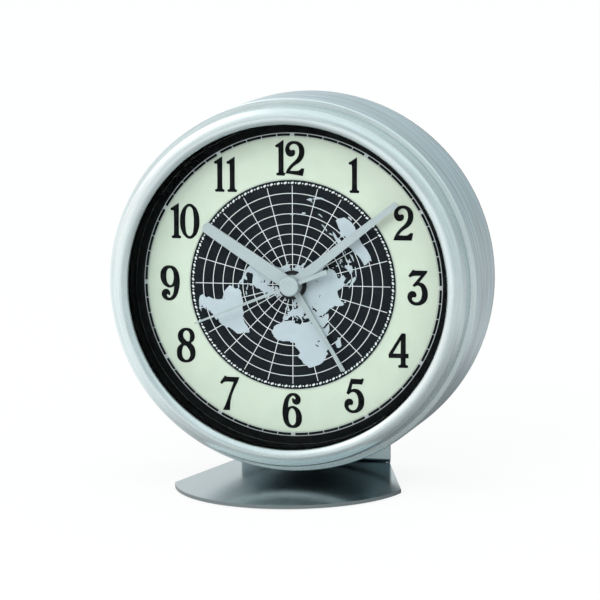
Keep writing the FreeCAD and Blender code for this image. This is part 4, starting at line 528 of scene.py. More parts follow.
def shade(tree, base, share, pattern, limits, height, depth, clouds, roughness, swing, **values):
    """A principled shader over a bump depth mm high.

    As the pattern goes from one limit to the other, the colour goes from that share of the base to
    all of it. The roughness swings by a share of itself with the clouds.
    """
    deep = [c * share for c in base[:3]] + [1.0]
    spread = add_node(tree, "ShaderNodeMapRange", None,
                      {"Value": pattern, "From Min": limits[0], "From Max": limits[1],
                       "To Min": 0.0, "To Max": 1.0})
    tint = add_node(tree, "ShaderNodeMix", {"data_type": "RGBA"},
                    {"Factor": spread.outputs[0], 6: deep, 7: base})
    gloss = add_node(tree, "ShaderNodeMapRange", None,
                     {"Value": clouds, "From Min": 0.3, "From Max": 0.7,
                      "To Min": roughness * (1 - swing), "To Max": roughness * (1 + swing)})
    bump = add_node(tree, "ShaderNodeBump", None,
                    {"Strength": 1.0, "Distance": depth * MM, "Height": height})
    shader = add_node(tree, "ShaderNodeBsdfPrincipled", None,
                      {"Base Color": tint.outputs[2], "Roughness": gloss.outputs[0],
                       "Normal": bump.outputs["Normal"], **values})
    surface(tree, shader.outputs["BSDF"])


def moulded(name, base, roughness, grain, depth, share=0.85, **values):
    """A fine random grain of that size and depth in mm, as on mouldings, paint and print."""
    material, tree = blank(name)
    place = add_node(tree, "ShaderNodeTexCoord").outputs["Object"]
    fine = add_node(tree, "ShaderNodeTexNoise", None,
                    {"Vector": place, "Scale": 1 / (grain * MM), "Detail": 2.0, "Roughness": 0.6})
    # Clouds 18 grains wide vary the colour and the gloss
    broad = add_node(tree, "ShaderNodeTexNoise", None,
                     {"Vector": place, "Scale": 1 / (18 * grain * MM), "Detail": 3.0})
    mixed = add_node(tree, "ShaderNodeMath", {"operation": "MULTIPLY_ADD"},
                     {0: fine.outputs["Fac"], 1: 0.35, 2: broad.outputs["Fac"]})
    shade(tree, base, share, mixed.outputs[0], (0.4, 0.95), fine.outputs["Fac"], depth,
          broad.outputs["Fac"], roughness, 0.08, **values)
    return material


def screened(name, base, share=0.9):
    """Ink, screened: an even matt colour that hardly shines."""
    return moulded(name, base, 0.6, 0.2, 0.001, share, **MATT)


def brushed_round(name, base, roughness, pitch, along, depth, share):
    """Metal brushed round the clock's axis: streaks one pitch apart, 'along' mm long at the rim."""
    material, tree = blank(name)
    place = add_node(tree, "ShaderNodeTexCoord").outputs["Object"]
    own = add_node(tree, "ShaderNodeMapping", {"vector_type": "TEXTURE"},
                   {"Vector": place, "Location": CENTRE, "Rotation": (TILT, 0, 0)})
    parts = add_node(tree, "ShaderNodeSeparateXYZ", None, {"Vector": own.outputs["Vector"]})
    flat = add_node(tree, "ShaderNodeCombineXYZ", None,
                    {"X": parts.outputs["X"], "Y": parts.outputs["Y"]})
    radius = add_node(tree, "ShaderNodeVectorMath", {"operation": "LENGTH"}, {0: flat.outputs[0]})
    way = add_node(tree, "ShaderNodeVectorMath", {"operation": "NORMALIZE"}, {0: flat.outputs[0]})
    # Both the radius and the depth change from one streak to the next, so they run round all faces
    across = add_node(tree, "ShaderNodeMath", {"operation": "SUBTRACT"},
                      {0: radius.outputs["Value"], 1: parts.outputs["Z"]})
    lift = add_node(tree, "ShaderNodeCombineXYZ", None, {"Z": across.outputs[0]})
    long = add_node(tree, "ShaderNodeVectorMath", {"operation": "SCALE"},
                    {0: way.outputs["Vector"], "Scale": RIM / along})
    streaks = []
    # Fine streaks over broad ones
    for size in (pitch, pitch * 3.5):
        thin = add_node(tree, "ShaderNodeVectorMath", {"operation": "SCALE"},
                        {0: lift.outputs[0], "Scale": 1 / (size * MM)})
        spot = add_node(tree, "ShaderNodeVectorMath", {"operation": "ADD"},
                        {0: long.outputs["Vector"], 1: thin.outputs["Vector"]})
        noise = add_node(tree, "ShaderNodeTexNoise", None,
                         {"Vector": spot.outputs["Vector"], "Scale": 1.0, "Detail": 3.0,
                          "Roughness": 0.65})
        streaks.append(noise.outputs["Fac"])
    both = add_node(tree, "ShaderNodeMath", {"operation": "MULTIPLY_ADD"},
                    {0: streaks[0], 1: 0.6, 2: streaks[1]})
    # Not wholly metallic, because the brushing scatters some of the light
    shade(tree, base, share, both.outputs[0], (0.66, 0.94), both.outputs[0], depth, streaks[1],
          roughness, 0.2, Metallic=0.82)
    return material


def brushed_straight(name, base, roughness, pitch, along, depth):
    """Metal with streaks one pitch apart across x, 'along' mm long."""
    material, tree = blank(name)
    place = add_node(tree, "ShaderNodeTexCoord").outputs["Object"]
    size = (1 / (pitch * MM), 1 / (along * MM), 1 / (along * MM))
    stretch = add_node(tree, "ShaderNodeMapping", None, {"Vector": place, "Scale": size})
    lines = add_node(tree, "ShaderNodeTexNoise", None,
                     {"Vector": stretch.outputs["Vector"], "Scale": 1.0, "Detail": 4.0,
                      "Roughness": 0.7}).outputs["Fac"]
    shade(tree, base, 0.88, lines, (0.35, 0.65), lines, depth, lines, roughness, 0.2,
          Metallic=1.0)
    return material


def clear_glass(name):
    """Flat mineral glass, coated against reflection, so thin that it bends no ray that is seen."""
    material, tree = blank(name)
    place = add_node(tree, "ShaderNodeTexCoord").outputs["Object"]
    # A faint film in clouds about 17 mm wide
    film = add_node(tree, "ShaderNodeTexNoise", None,
                    {"Vector": place, "Scale": 60.0, "Detail": 2.0})
    tint = add_node(tree, "ShaderNodeMix", {"data_type": "RGBA"},
                    {"Factor": film.outputs["Fac"], 6: linear("#F7FBF9"), 7: linear("#FFFFFF")})
    shader = add_node(tree, "ShaderNodeBsdfPrincipled", None,
                      {"Base Color": tint.outputs[2], "Roughness": 0.0, "IOR": 1.0,
                       "Transmission Weight": 1.0})
    clear = add_node(tree, "ShaderNodeBsdfTransparent")
    path = add_node(tree, "ShaderNodeLightPath")
    # It casts no shadow on the dial
    mix = add_node(tree, "ShaderNodeMixShader", None,
                   {0: path.outputs["Is Shadow Ray"], 1: shader.outputs["BSDF"],
                    2: clear.outputs["BSDF"]})
    surface(tree, mix.outputs["Shader"])
    return material


def begin(add, name, **settings):
    """Adds one primitive with nothing else selected, and opens it in edit mode."""
    bpy.ops.object.select_all(action="DESELECT")
    add(**settings)
    piece = bpy.context.object
    piece.name = piece.data.name = name
    bpy.ops.object.mode_set(mode="EDIT")
    return piece


def settle(piece, place=CASE):
    """Leaves edit mode and puts the piece's place in its mesh."""
    if piece.mode == "EDIT":
        bpy.ops.object.mode_set(mode="OBJECT")
    piece.data.transform(place @ piece.matrix_world)
    piece.matrix_world = Matrix.Identity(4)
    piece.data.update()


def complete(piece, material, body="case"):
    """Smooths the piece and gives it its finish and the body that carries it."""
    bpy.context.view_layer.objects.active = piece
    bpy.ops.object.select_all(action="DESELECT")
    piece.select_set(True)
    bpy.ops.object.shade_smooth_by_angle(angle=SMOOTH)
    # Large faces keep their own direction, so that flat metal mirrors without a bend at its edges
    level = piece.modifiers.new("flat_faces", "WEIGHTED_NORMAL")
    level.keep_sharp = True
    bpy.ops.object.modifier_apply(modifier=level.name)
    piece.data.materials.clear()
    piece.data.materials.append(material)
    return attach(piece, body)


def dress(material, *nodes):
    """Gives CAD nodes a finish through their objects' slots."""
    for name in nodes:
        node = frame["nodes"][name]
        if not node.material_slots:
            node.data.materials.append(material)
        for slot in node.material_slots:
            slot.material = material


def dress_each(finishes):
    """Gives CAD nodes the finishes of a table."""
    for name, code, roughness, grain, depth, share, metallic, nodes in finishes:
        dress(moulded(name, linear(code), roughness, grain, depth, share, Metallic=metallic),
              *nodes)


def break_edges(piece, width):
    """Rounds a piece's sharp edges with an applied bevel."""
    bevel = piece.modifiers.new("edges", "BEVEL")
    bevel.width, bevel.segments = width, 2
    bevel.limit_method, bevel.angle_limit = "ANGLE", SMOOTH
    bevel.use_clamp_overlap = True
    bpy.context.view_layer.objects.active = piece
    bpy.ops.object.modifier_apply(modifier=bevel.name)


def turn_section(name, section):
    """Draws a closed section by extruding and spinning one vertex, and spins it round the axis."""
    here = Vector((section[0][0], 0, section[0][1])) * MM
    piece = begin(bpy.ops.mesh.primitive_plane_add, name, size=MM, location=here)
    bpy.ops.mesh.merge(type="CENTER")
    for step in section[1:] + section[:1]:
        if step[0] == "arc":
            _, radius, rise, degrees, count = step
            centre, angle = Vector((radius, 0, rise)) * MM, math.radians(degrees)
            # The operator turns the other way
            bpy.ops.mesh.spin(steps=count, angle=-angle, center=centre, axis=(0, 1, 0))
            here = centre + Matrix.Rotation(angle, 3, "Y") @ (here - centre)
        else:
            there = Vector((step[0], 0, step[1])) * MM
            bpy.ops.mesh.extrude_region_move(TRANSFORM_OT_translate={"value": there - here})
            here = there
    bpy.ops.mesh.select_all(action="SELECT")
    bpy.ops.mesh.remove_doubles(threshold=WELD)
    bpy.ops.mesh.spin(steps=AROUND, angle=math.tau, center=(0, 0, 0), axis=(0, 0, 1))
    bpy.ops.mesh.select_all(action="SELECT")
    bpy.ops.mesh.remove_doubles(threshold=WELD)
    bpy.ops.mesh.normals_make_consistent(inside=False)
    bpy.ops.object.mode_set(mode="OBJECT")
    return piece


def turned(name, section, material, edge=0.0):
    """A finished piece spun from its section, with its edges rounded where a width is given."""
    piece = turn_section(name, section)
    if edge:
        break_edges(piece, edge)
    settle(piece)
    complete(piece, material)
    return piece


def soften(node, width, material, body="case"):
    """A copy of a CAD node with merged faces and rounded edges, which stands for the node."""
    bpy.ops.object.select_all(action="DESELECT")
    source = frame["nodes"][node]
    bpy.context.view_layer.objects.active = source
    source.select_set(True)
    bpy.ops.object.duplicate()
    piece = bpy.context.object
    piece.name = piece.data.name = node + "_finished"
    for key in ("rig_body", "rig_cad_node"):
        if key in piece:
            del piece[key]
    piece.parent = None
    bpy.ops.object.mode_set(mode="EDIT")
    bpy.ops.mesh.select_all(action="SELECT")
    bpy.ops.mesh.customdata_custom_splitnormals_clear()
    bpy.ops.mesh.remove_doubles(threshold=CAD_WELD)
    bpy.ops.mesh.dissolve_limited(angle_limit=math.radians(0.5))
    bpy.ops.object.mode_set(mode="OBJECT")
    break_edges(piece, width)
    complete(piece, material, body)
    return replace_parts(piece, node)


def print_height(layer):
    """How high a print of that layer lies in the case frame."""
    return DIAL + layer * LAYER


def face_front(piece):
    """Turns a flat print's faces out of the dial."""
    bpy.ops.mesh.select_all(action="SELECT")
    bpy.ops.object.mode_set(mode="OBJECT")
    down = sum(p.normal.z * p.area for p in piece.data.polygons) < 0
    bpy.ops.object.mode_set(mode="EDIT")
    if down:
        bpy.ops.mesh.flip_normals()


def lay(piece, ink):
    """Puts a print on the dial in its ink."""
    settle(piece)
    complete(piece, ink)


def print_ring(name, inner, outer, layer, count=240, turn=0.0):
    """A flat ring between two radii, drawn by extruding a circle's edges outwards."""
    rise = print_height(layer)
    piece = begin(bpy.ops.mesh.primitive_circle_add, name, vertices=count, radius=inner,
                  location=(0, 0, rise), rotation=(0, 0, turn))
    bpy.ops.mesh.extrude_region_move()
    bpy.ops.transform.resize(value=(outer / inner, outer / inner, 1),
                             center_override=(0, 0, rise))
    face_front(piece)
    return piece


def begin_block(name, radius, across, along, layer, turn=0.0):
    """Begins a print with one flat block above the dial's middle, turned in its place."""
    place = (0, radius, print_height(layer))
    piece = begin(bpy.ops.mesh.primitive_plane_add, name, size=MM, location=place)
    bpy.ops.transform.resize(value=(across / MM, along / MM, 1), center_override=place)
    bpy.ops.transform.rotate(value=turn, orient_axis="Z", center_override=place)
    return piece


def repeat_round(piece, count, layer):
    """Copies all that is drawn evenly round the dial, until there are count of it."""
    bpy.ops.mesh.select_all(action="SELECT")
    bpy.ops.mesh.spin(steps=count - 1, dupli=True, angle=math.tau * (count - 1) / count,
                      center=(0, 0, print_height(layer)), axis=(0, 0, 1))
    face_front(piece)


def cut_faces(piece, wanted):
    """Deletes the faces whose centre, in the case frame, is wanted."""
    bpy.ops.mesh.select_all(action="DESELECT")
    bpy.ops.object.mode_set(mode="OBJECT")
    for face in piece.data.polygons:
        face.select = wanted(piece.matrix_world @ face.center)
    bpy.ops.object.mode_set(mode="EDIT")
    bpy.ops.mesh.delete(type="FACE")


def print_shape(name, contours, layer, steps=6):
    """A flat filled shape from closed contours of (x, y) in metres. A third item marks a corner."""
    bpy.ops.object.select_all(action="DESELECT")
    bpy.ops.curve.primitive_bezier_circle_add(radius=MM)
    piece = bpy.context.object
    piece.name = piece.data.name = name
    curve = piece.data
    curve.dimensions, curve.fill_mode, curve.resolution_u = "2D", "BOTH", steps
    curve.splines.clear()
    for contour in contours:
        spline = curve.splines.new("BEZIER")
        spline.bezier_points.add(len(contour) - 1)
        spline.use_cyclic_u = True
        for point, place in zip(spline.bezier_points, contour):
            point.co = (place[0], place[1], 0)
        for point, place in zip(spline.bezier_points, contour):
            kind = "VECTOR" if len(place) > 2 else "AUTO"
            point.handle_left_type = point.handle_right_type = kind
    bpy.ops.object.convert(target="MESH")
    piece = bpy.context.object
    piece.location = (0, 0, print_height(layer))
    bpy.context.view_layer.update()
    bpy.ops.object.mode_set(mode="EDIT")
    face_front(piece)
    return piece


def bolder(contour, amount, hole):
    """Moves each point of a contour outwards by amount, or inwards where it bounds a hole."""
    pairs = list(zip(contour, contour[1:] + contour[:1]))
    turn = sum(a[0] * b[1] - b[0] * a[1] for a, b in pairs)
    side = amount if (turn > 0) != hole else -amount
    moved = []
    for before, here, after in zip(contour[-1:] + contour[:-1], contour,
                                   contour[1:] + contour[:1]):
        x = y = 0
        for a, b in ((before, here), (here, after)):
            reach = math.hypot(b[0] - a[0], b[1] - a[1])
            x, y = x + (b[1] - a[1]) / reach, y + (a[0] - b[0]) / reach
        # Long enough for both sides to move by amount, but never a spike at a sharp corner
        share = 2 * side / max(x * x + y * y, 1.2)
        moved.append((here[0] + x * share, here[1] + y * share, *here[2:]))
    return moved


def on_map(longitude, latitude, reach):
    """Where a place falls on a map about the pole. Each point of a shore is a corner."""
    radius = reach * (90 - latitude) / MAP_REACH
    angle = math.radians(longitude - MAP_RIGHT)
    return radius * math.cos(angle), radius * math.sin(angle), 1


def faded(tree, strength, place, rows):
    """A strength times a smooth fade for each row, along an axis or away from a place."""
    parts = add_node(tree, "ShaderNodeSeparateXYZ", None, {"Vector": place})
    for where, start, end, first, last in rows:
        if isinstance(where, str):
            along = parts.outputs[where]
        else:
            away = add_node(tree, "ShaderNodeVectorMath", {"operation": "DISTANCE"},
                            {0: place, 1: where})
            along = away.outputs["Value"]
        fade = add_node(tree, "ShaderNodeMapRange", {"interpolation_type": "SMOOTHSTEP"},
                        {"Value": along, "From Min": start, "From Max": end,
                         "To Min": first, "To Max": last})
        strength = add_node(tree, "ShaderNodeMath", {"operation": "MULTIPLY"},
                            {0: strength, 1: fade.outputs[0]}).outputs[0]
    return strength


def white_card(name):
    """Matt white card with a fine tooth, which looks white and which metal sees with painted light
    and shade.
    """
    material, tree = blank(name)
    path = add_node(tree, "ShaderNodeLightPath")
    place = add_node(tree, "ShaderNodeTexCoord").outputs["Object"]
    # The tooth is 2.5 mm wide and 0.05 mm deep
    tooth = add_node(tree, "ShaderNodeTexNoise", None, {"Vector": place, "Scale": 1 / (2.5 * MM)})
    bump = add_node(tree, "ShaderNodeBump", None,
                    {"Height": tooth.outputs["Fac"], "Distance": 0.05 * MM})
    card = add_node(tree, "ShaderNodeBsdfDiffuse", None,
                    {"Color": linear("#D8DADA"), "Normal": bump.outputs["Normal"]})
    # The glow that metal sees is painted light, with a painted shadow of the clock near it
    mirrored = faded(tree, 1.0, place, FLOOR_FADES)
    bright = add_node(tree, "ShaderNodeMix", {"data_type": "FLOAT"},
                      {"Factor": path.outputs["Is Glossy Ray"], "A": 1.02, "B": mirrored})
    glow = add_node(tree, "ShaderNodeEmission", None,
                    {"Color": (1, 1, 1, 1), "Strength": bright.outputs[0]})
    # What looks at the card sees mostly the glow, and the rest of it is lit and shadowed
    seen = path.outputs["Is Camera Ray"]
    for ray in ("Is Transmission Ray", "Is Glossy Ray"):
        seen = add_node(tree, "ShaderNodeMath", {"operation": "MAXIMUM"},
                        {0: seen, 1: path.outputs[ray]}).outputs[0]
    share = add_node(tree, "ShaderNodeMath", {"operation": "MULTIPLY"}, {0: seen, 1: CARD_GLOW})
    mix = add_node(tree, "ShaderNodeMixShader", None,
                   {0: share.outputs[0], 1: card.outputs["BSDF"], 2: glow.outputs["Emission"]})
    surface(tree, mix.outputs["Shader"])
    return material


def lay_floor():
    """Lays the card that the clock stands on."""
    floor = begin(bpy.ops.mesh.primitive_plane_add, "floor", size=1.0)
    bpy.ops.transform.resize(value=(FLOOR_SIZE, FLOOR_SIZE, 1), center_override=(0, 0, 0))
    bpy.ops.mesh.subdivide(number_cuts=3)
    settle(floor, Matrix.Identity(4))
    floor.data.materials.append(white_card("white_card_matt"))


def light_room(scene):
    """Sets the world: white behind the clock, and a room's light and dark sides for the metal."""
    world = bpy.data.worlds.new("studio_white")
    scene.world = world
    world.use_nodes = True
    tree = world.node_tree
    tree.nodes.clear()
    path = add_node(tree, "ShaderNodeLightPath")
    way = add_node(tree, "ShaderNodeTexCoord").outputs["Generated"]
    parts = add_node(tree, "ShaderNodeSeparateXYZ", None, {"Vector": way})
    corner = add_node(tree, "ShaderNodeMath", {"operation": "ADD"},
                      {0: faded(tree, 1.0, way, CORNER_FADES), 1: 1.0})
    mirrored = faded(tree, corner.outputs[0], way, ROOM_FADES)
    # What isn't metal is lit evenly, a little more from the left
    even = add_node(tree, "ShaderNodeMapRange", None,
                    {"Value": parts.outputs["X"], "From Min": -1.0, "From Max": 1.0,
                     "To Min": 1.4, "To Max": 1.1})
    light = add_node(tree, "ShaderNodeMix", {"data_type": "FLOAT"},
                     {"Factor": path.outputs["Is Glossy Ray"], "A": even.outputs[0],
                      "B": mirrored})
    tone = add_node(tree, "ShaderNodeMix", {"data_type": "RGBA"},
                    {"Factor": faded(tree, 1.0, way, COOL_FADES),
                     6: linear("#FFF8F6"), 7: linear("#F0FAFC")})
    soft = add_node(tree, "ShaderNodeBackground", None,
                    {"Color": tone.outputs[2], "Strength": light.outputs[0]})
    white = add_node(tree, "ShaderNodeBackground", None,
                     {"Color": (1, 1, 1, 1), "Strength": 1.0})
    mix = add_node(tree, "ShaderNodeMixShader", None,
                   {0: path.outputs["Is Camera Ray"], 1: soft.outputs["Background"],
                    2: white.outputs["Background"]})
    add_node(tree, "ShaderNodeOutputWorld", None, {"Surface": mix.outputs["Shader"]})


def hang_lamps(scene):
    """Hangs the soft square lamps."""
    for name, place, aim, size, power in LAMPS:
        data = bpy.data.lights.new(name, "AREA")
        data.shape, data.size, data.energy = "SQUARE", size, power
        lamp = bpy.data.objects.new(name, data)
        # The metal mirrors the room, whose bright side stands for the lamps
        lamp.visible_glossy = False
        scene.collection.objects.link(lamp)
        lamp.location = place
        lamp.rotation_euler = (Vector(aim) - Vector(place)).to_track_quat("-Z", "Y").to_euler()


def place_camera(scene):
    """Looks at the clock from where the photograph was taken."""
    azimuth, elevation, roll = (math.radians(angle) for angle in CAMERA_TURN)
    back = Vector((math.sin(azimuth) * math.cos(elevation),
                   -math.cos(azimuth) * math.cos(elevation), math.sin(elevation)))
    right = Vector((math.cos(azimuth), math.sin(azimuth), 0))
    upward = right.cross(-back).normalized()
    target = CENTRE + right * (CAMERA_SHIFT[0] * MM) - upward * (CAMERA_SHIFT[1] * MM)
    data = bpy.data.cameras.new("photograph_view")
    data.lens, data.sensor_width = CAMERA_LENS, CAMERA_SENSOR
    data.dof.use_dof = False
    camera = bpy.data.objects.new("photograph_view", data)
    scene.collection.objects.link(camera)
    camera.rotation_mode = "QUATERNION"
    camera.location = CENTRE + back * CAMERA_DISTANCE
    camera.rotation_quaternion = ((target - camera.location).to_track_quat("-Z", "Y")
                                  @ Matrix.Rotation(roll, 4, "Z").to_quaternion())
    scene.camera = camera


class CLOCK_OT_case(bpy.types.Operator):
    """Spins the brushed bezel and drum from their sections"""

    bl_idname = "clock.build_case"
    bl_label = "Bezel and drum"

    def execute(self, context):
        sizes, colours = context.scene.clock_sizes, context.scene.clock_colours
        # Spun aluminium, brushed round: satin, with soft streaks 0.1 mm apart, drawn at 0.4 mm so
        # that they show
        metal = brushed_round("spun_aluminium_brushed", colours.metal, 0.27, 0.4, 26, 0.008, 0.86)
        bezel = turned("bezel_ring", BEZEL_SECTION, metal, sizes.edge_round)
        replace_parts(bezel, "front_bezel")
        # Aluminium sheet, brushed round more coarsely: duller, with streaks 0.3 mm apart, drawn at
        # 0.65 mm so that they show
        # Its colour is darker and bluer than the bezel's: painted shade
        sheet = brushed_round("drum_aluminium_brushed", colours.shell, 0.34, 0.65, 50, 0.04, 0.52)
        drum = turned("drum_shell", DRUM_SECTION, sheet)
        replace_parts(drum, "case_drum")
        # The shoulder keeps the bezel's lighter metal, against the drum's painted shade
        turned("drum_shoulder", SHOULDER_SECTION, metal)
        # A dull black line between the two metals: painted shade in the groove of the seam
        rubber = moulded("painted_seam_shade_black", linear("#0C0D0E"), 0.8, 0.3, 0.006)
        turned("painted_seam_shade", SEAM_SHADE_SECTION, rubber)
        return {"FINISHED"}


class CLOCK_OT_stand(bpy.types.Operator):
    """Rounds the edges of the bent sheet stand and brushes it"""

    bl_idname = "clock.build_stand"
    bl_label = "Stand"

    def execute(self, context):
        sizes, colours = context.scene.clock_sizes, context.scene.clock_colours
        # Cold rolled steel, brushed along the strip: almost a mirror, under fine lines 0.1 mm
        # apart that run up the tongue, drawn at 0.3 mm so that they show
        steel = brushed_straight("sheet_steel_brushed", colours.sheet, 0.15, 0.3, 45, 0.0005)
        soften("stand_bracket", sizes.edge_round, steel)
        # Nitrile rubber sheet, die cut: dull black with a fine grain
        rubber = moulded("nitrile_rubber_cut", linear("#16181A"), 0.85, 0.3, 0.01)
        dress(rubber, "foot_pad")
        return {"FINISHED"}


class CLOCK_OT_dial(bpy.types.Operator):
    """Prints the dial's rings and the minute track"""

    bl_idname = "clock.print_dial"
    bl_label = "Dial rings and track"

    def execute(self, context):
        sizes, colours = context.scene.clock_sizes, context.scene.clock_colours
        # Aluminium plate, lacquered matt: off-white under the prints
        dress(moulded("dial_lacquer_matt", linear("#C9D2C6"), 0.6, 0.25, 0.002), "dial_plate")
        # Ink, screened: even black that hardly shines
        black = screened("screen_ink_black", colours.ink)
        # Ink with aluminium flakes, screened: grey with a light metal gloss
        silver = moulded("screen_ink_silver", colours.silver, 0.42, 0.2, 0.001, 0.9, Metallic=0.4)
        # Luminous paint, screened: pale green and chalky
        lume = moulded("luminous_paint_screened", colours.lume, 0.7, 0.35, 0.006, 0.93, **MATT)
        # Screened thin like ink: a greenish grey line, the painted shadow of the dashes and of the
        # map's edge
        grey = screened("painted_shadow_grey", linear("#A9B4AA"))
        for name, ink, inner, outer in (
            ("print_edge_ring", black, sizes.track_outer, sizes.dial_edge),
            ("print_lume_ring", lume, sizes.map_radius, sizes.track_inner),
            ("print_track_ring", silver, sizes.track_inner, sizes.track_outer),
        ):
            lay(print_ring(name, inner, outer, 1), ink)
        step = math.tau / TRACK_FACES

        def gap(centre):
            """Whether a face lies in the gap at a minute or at an hour."""
            along = math.atan2(centre.x, centre.y) / step
            return any(min(along % pitch, -along % pitch) < half for pitch, half in TRACK_GAPS)

        # The black dashes, and a grey copy of them just inside that is their painted shadow
        for name, ink, inner, outer in (
            ("print_minute_dashes", black, sizes.dash_inner, sizes.dash_outer),
            ("painted_dash_shadow", grey, DASH_SHADOW[0] * MM, DASH_SHADOW[1] * MM),
        ):
            piece = print_ring(name, inner, outer, 2, TRACK_FACES, step / 2)
            cut_faces(piece, gap)
            lay(piece, ink)
        # A grey ring round the map disc: its painted shadow
        lay(print_ring("painted_map_rim_shadow", MAP_RIM_SHADOW[0] * MM, MAP_RIM_SHADOW[1] * MM, 2), grey)
        return {"FINISHED"}


class CLOCK_OT_numerals(bpy.types.Operator):
    """Prints the twelve old style numerals"""

    bl_idname = "clock.print_numerals"
    bl_label = "Numerals"

    def execute(self, context):
        sizes, colours = context.scene.clock_sizes, context.scene.clock_colours
        # Ink, screened: the same black as the edge
        ink = screened("screen_ink_numerals", colours.ink)
        reach = sizes.numeral_circle / NUMERAL_CIRCLE
        for hour, (across, up, *figures) in HOURS.items():
            contours = []
            for figure, right, down in figures:
                left, top = NUMERAL_MIDDLE - right, NUMERAL_MIDDLE - down
                for contour in figure:
                    thick = bolder(contour, NUMERAL_BOLD, contour is not figure[0])
                    contours.append([(across * reach + (x - left) * UNIT,
                                      up * reach - (y - top) * UNIT, *corner)
                                     for x, y, *corner in thick])
            lay(print_shape(f"print_numeral_{hour}", contours, 3), ink)
        return {"FINISHED"}


class CLOCK_OT_map(bpy.types.Operator):
    """Prints the dark map disc with its border, lines and lands"""

    bl_idname = "clock.print_map"
    bl_label = "World map"

    def execute(self, context):
        sizes, colours = context.scene.clock_sizes, context.scene.clock_colours
        # Three inks, screened: blue black ground, bright lines and light grey lands, all matt
        sea = screened("screen_ink_map_ground", colours.sea, 0.92)
        pale = screened("screen_ink_map_lines", colours.line)
        land = screened("screen_ink_lands", colours.land, 0.92)
        lay(print_ring("print_map_disc", MAP_HOLE * MM, sizes.map_radius, 1), sea)
        # A parallel every 15 degrees, from 60 north to 45 south
        for ring in range(2, 10):
            middle, half = sizes.map_scale * ring / 10, sizes.line_width / 2
            lay(print_ring(f"print_parallel_{ring}", middle - half, middle + half, 2, 120), pale)
        start, end = (radius * MM for radius in MERIDIAN)
        piece = begin_block("print_meridians", (start + end) / 2, sizes.line_width, end - start, 2)
        repeat_round(piece, MERIDIANS, 2)
        lay(piece, pale)
        # One slanted block and one dot, then the rest of the border from them
        radius, turn = sizes.border_radius, math.pi / sizes.ornaments
        piece = begin_block("print_map_border", radius, BLOCK[0] * MM, BLOCK[1] * MM, 3,
                            BLOCK_TURN)
        bpy.ops.mesh.primitive_circle_add(
            vertices=10, radius=DOT_RADIUS * MM, fill_type="NGON",
            location=(radius * math.sin(turn), radius * math.cos(turn), print_height(3)))
        repeat_round(piece, sizes.ornaments, 3)
        lay(piece, pale)
        contours = [[on_map(*pair, sizes.map_scale) for pair in zip(shore[::2], shore[1::2])]
                    for shore in LANDS]
        lay(print_shape("print_lands", contours, 4, 1), land)
        return {"FINISHED"}


class CLOCK_OT_front(bpy.types.Operator):
    """Finishes the glass, its gasket, the surround, the hands and the nut"""

    bl_idname = "clock.finish_front"
    bl_label = "Glass, surround and hands"

    def execute(self, context):
        colours = context.scene.clock_colours
        dress(clear_glass("mineral_glass_coated"), "glass_lens")
        # Silicone, moulded: dull black, seen only as a dark line round the glass
        gasket = moulded("silicone_gasket_moulded", linear("#0A0B0C"), 0.8, 0.4, 0.002, **MATT)
        dress(gasket, "lens_gasket")
        # ABS, moulded and spark textured: deep black that hardly shines
        black = moulded("abs_black_satin", colours.moulding, 0.6, 0.3, 0.001, 0.95,
                        **{"Specular IOR Level": 0.05})
        dress(black, "dial_surround", "case_frame")
        # Stamped aluminium, lacquered: silver grey, smooth and half matt
        hands = moulded("lacquered_aluminium_hands", colours.hands, 0.42, 0.25, 0.001, 0.95,
                        Metallic=0.2)
        dress(hands, "alarm_hand", "hour_hand", "minute_hand", "second_hand")
        # Brass nut, blackened: dark with a soft metal gloss on its rim
        nut = moulded("nut_black_oxide", linear("#16191B"), 0.38, 0.3, 0.002, Metallic=0.6)
        dress(nut, "mounting_nut")
        return {"FINISHED"}


class CLOCK_OT_back(bpy.types.Operator):
    """Finishes the rear cover, battery door, knobs, switch and screws"""

    bl_idname = "clock.finish_back"
    bl_label = "Back"

    def execute(self, context):
        width = context.scene.clock_sizes.edge_round
        # ABS, moulded and spark textured: black, with a grain that breaks up its gloss
        cover = moulded("abs_cover_textured", linear("#17191B"), 0.55, 0.5, 0.02, 0.8)
        soften("rear_cover", width, cover)
        soften("battery_door", width, cover, "door")
        dress_each(BACK_FINISHES)
        return {"FINISHED"}


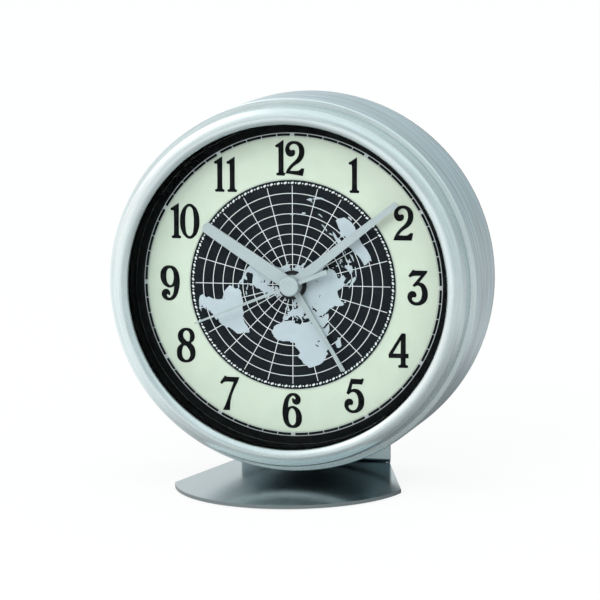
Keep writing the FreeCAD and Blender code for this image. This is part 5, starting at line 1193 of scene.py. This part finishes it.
class CLOCK_OT_movement(bpy.types.Operator):
    """Finishes the movement, the battery and what else is inside"""

    bl_idname = "clock.finish_movement"
    bl_label = "Movement and battery"

    def execute(self, context):
        dress_each(INNER_FINISHES)
        # Enamelled copper wire, wound: reddish, with the turns' lines 0.12 mm apart
        wire = brushed_straight("copper_wire_wound", linear("#B5653A"), 0.35, 0.12, 3, 0.02)
        dress(wire, "coil_winding")
        return {"FINISHED"}


class CLOCK_OT_stage(bpy.types.Operator):
    """Sets the floor, the soft light and the camera"""

    bl_idname = "clock.set_stage"
    bl_label = "Stage"

    def execute(self, context):
        context.scene.view_settings.view_transform = "Standard"
        lay_floor()
        light_room(context.scene)
        hang_lamps(context.scene)
        place_camera(context.scene)
        return {"FINISHED"}


OPERATORS = (CLOCK_OT_case, CLOCK_OT_stand, CLOCK_OT_dial, CLOCK_OT_numerals, CLOCK_OT_map,
             CLOCK_OT_front, CLOCK_OT_back, CLOCK_OT_movement, CLOCK_OT_stage)


class CLOCK_PT_panel(bpy.types.Panel):
    """Lists the clock's pieces, sizes and colours in the sidebar"""

    bl_idname = "CLOCK_PT_panel"
    bl_label = "World time clock"
    bl_space_type = "VIEW_3D"
    bl_region_type = "UI"
    bl_category = "Clock"

    def draw(self, context):
        for operator in OPERATORS:
            self.layout.operator(operator.bl_idname)
        for group in (context.scene.clock_sizes, context.scene.clock_colours):
            box = self.layout.box()
            for name in group.__annotations__:
                box.prop(group, name)


CLASSES = (ClockSizes, ClockColours, *OPERATORS, CLOCK_PT_panel)


def register():
    for item in CLASSES:
        bpy.utils.register_class(item)
    bpy.types.Scene.clock_sizes = PointerProperty(type=ClockSizes)
    bpy.types.Scene.clock_colours = PointerProperty(type=ClockColours)


def unregister():
    del bpy.types.Scene.clock_colours
    del bpy.types.Scene.clock_sizes
    for item in reversed(CLASSES):
        bpy.utils.unregister_class(item)


def main():
    register()
    bpy.ops.clock.build_case()
    bpy.ops.clock.build_stand()
    bpy.ops.clock.print_dial()
    bpy.ops.clock.print_numerals()
    bpy.ops.clock.print_map()
    bpy.ops.clock.finish_front()
    bpy.ops.clock.finish_back()
    bpy.ops.clock.finish_movement()
    bpy.ops.clock.set_stage()


if __name__ == "__main__":
    main()
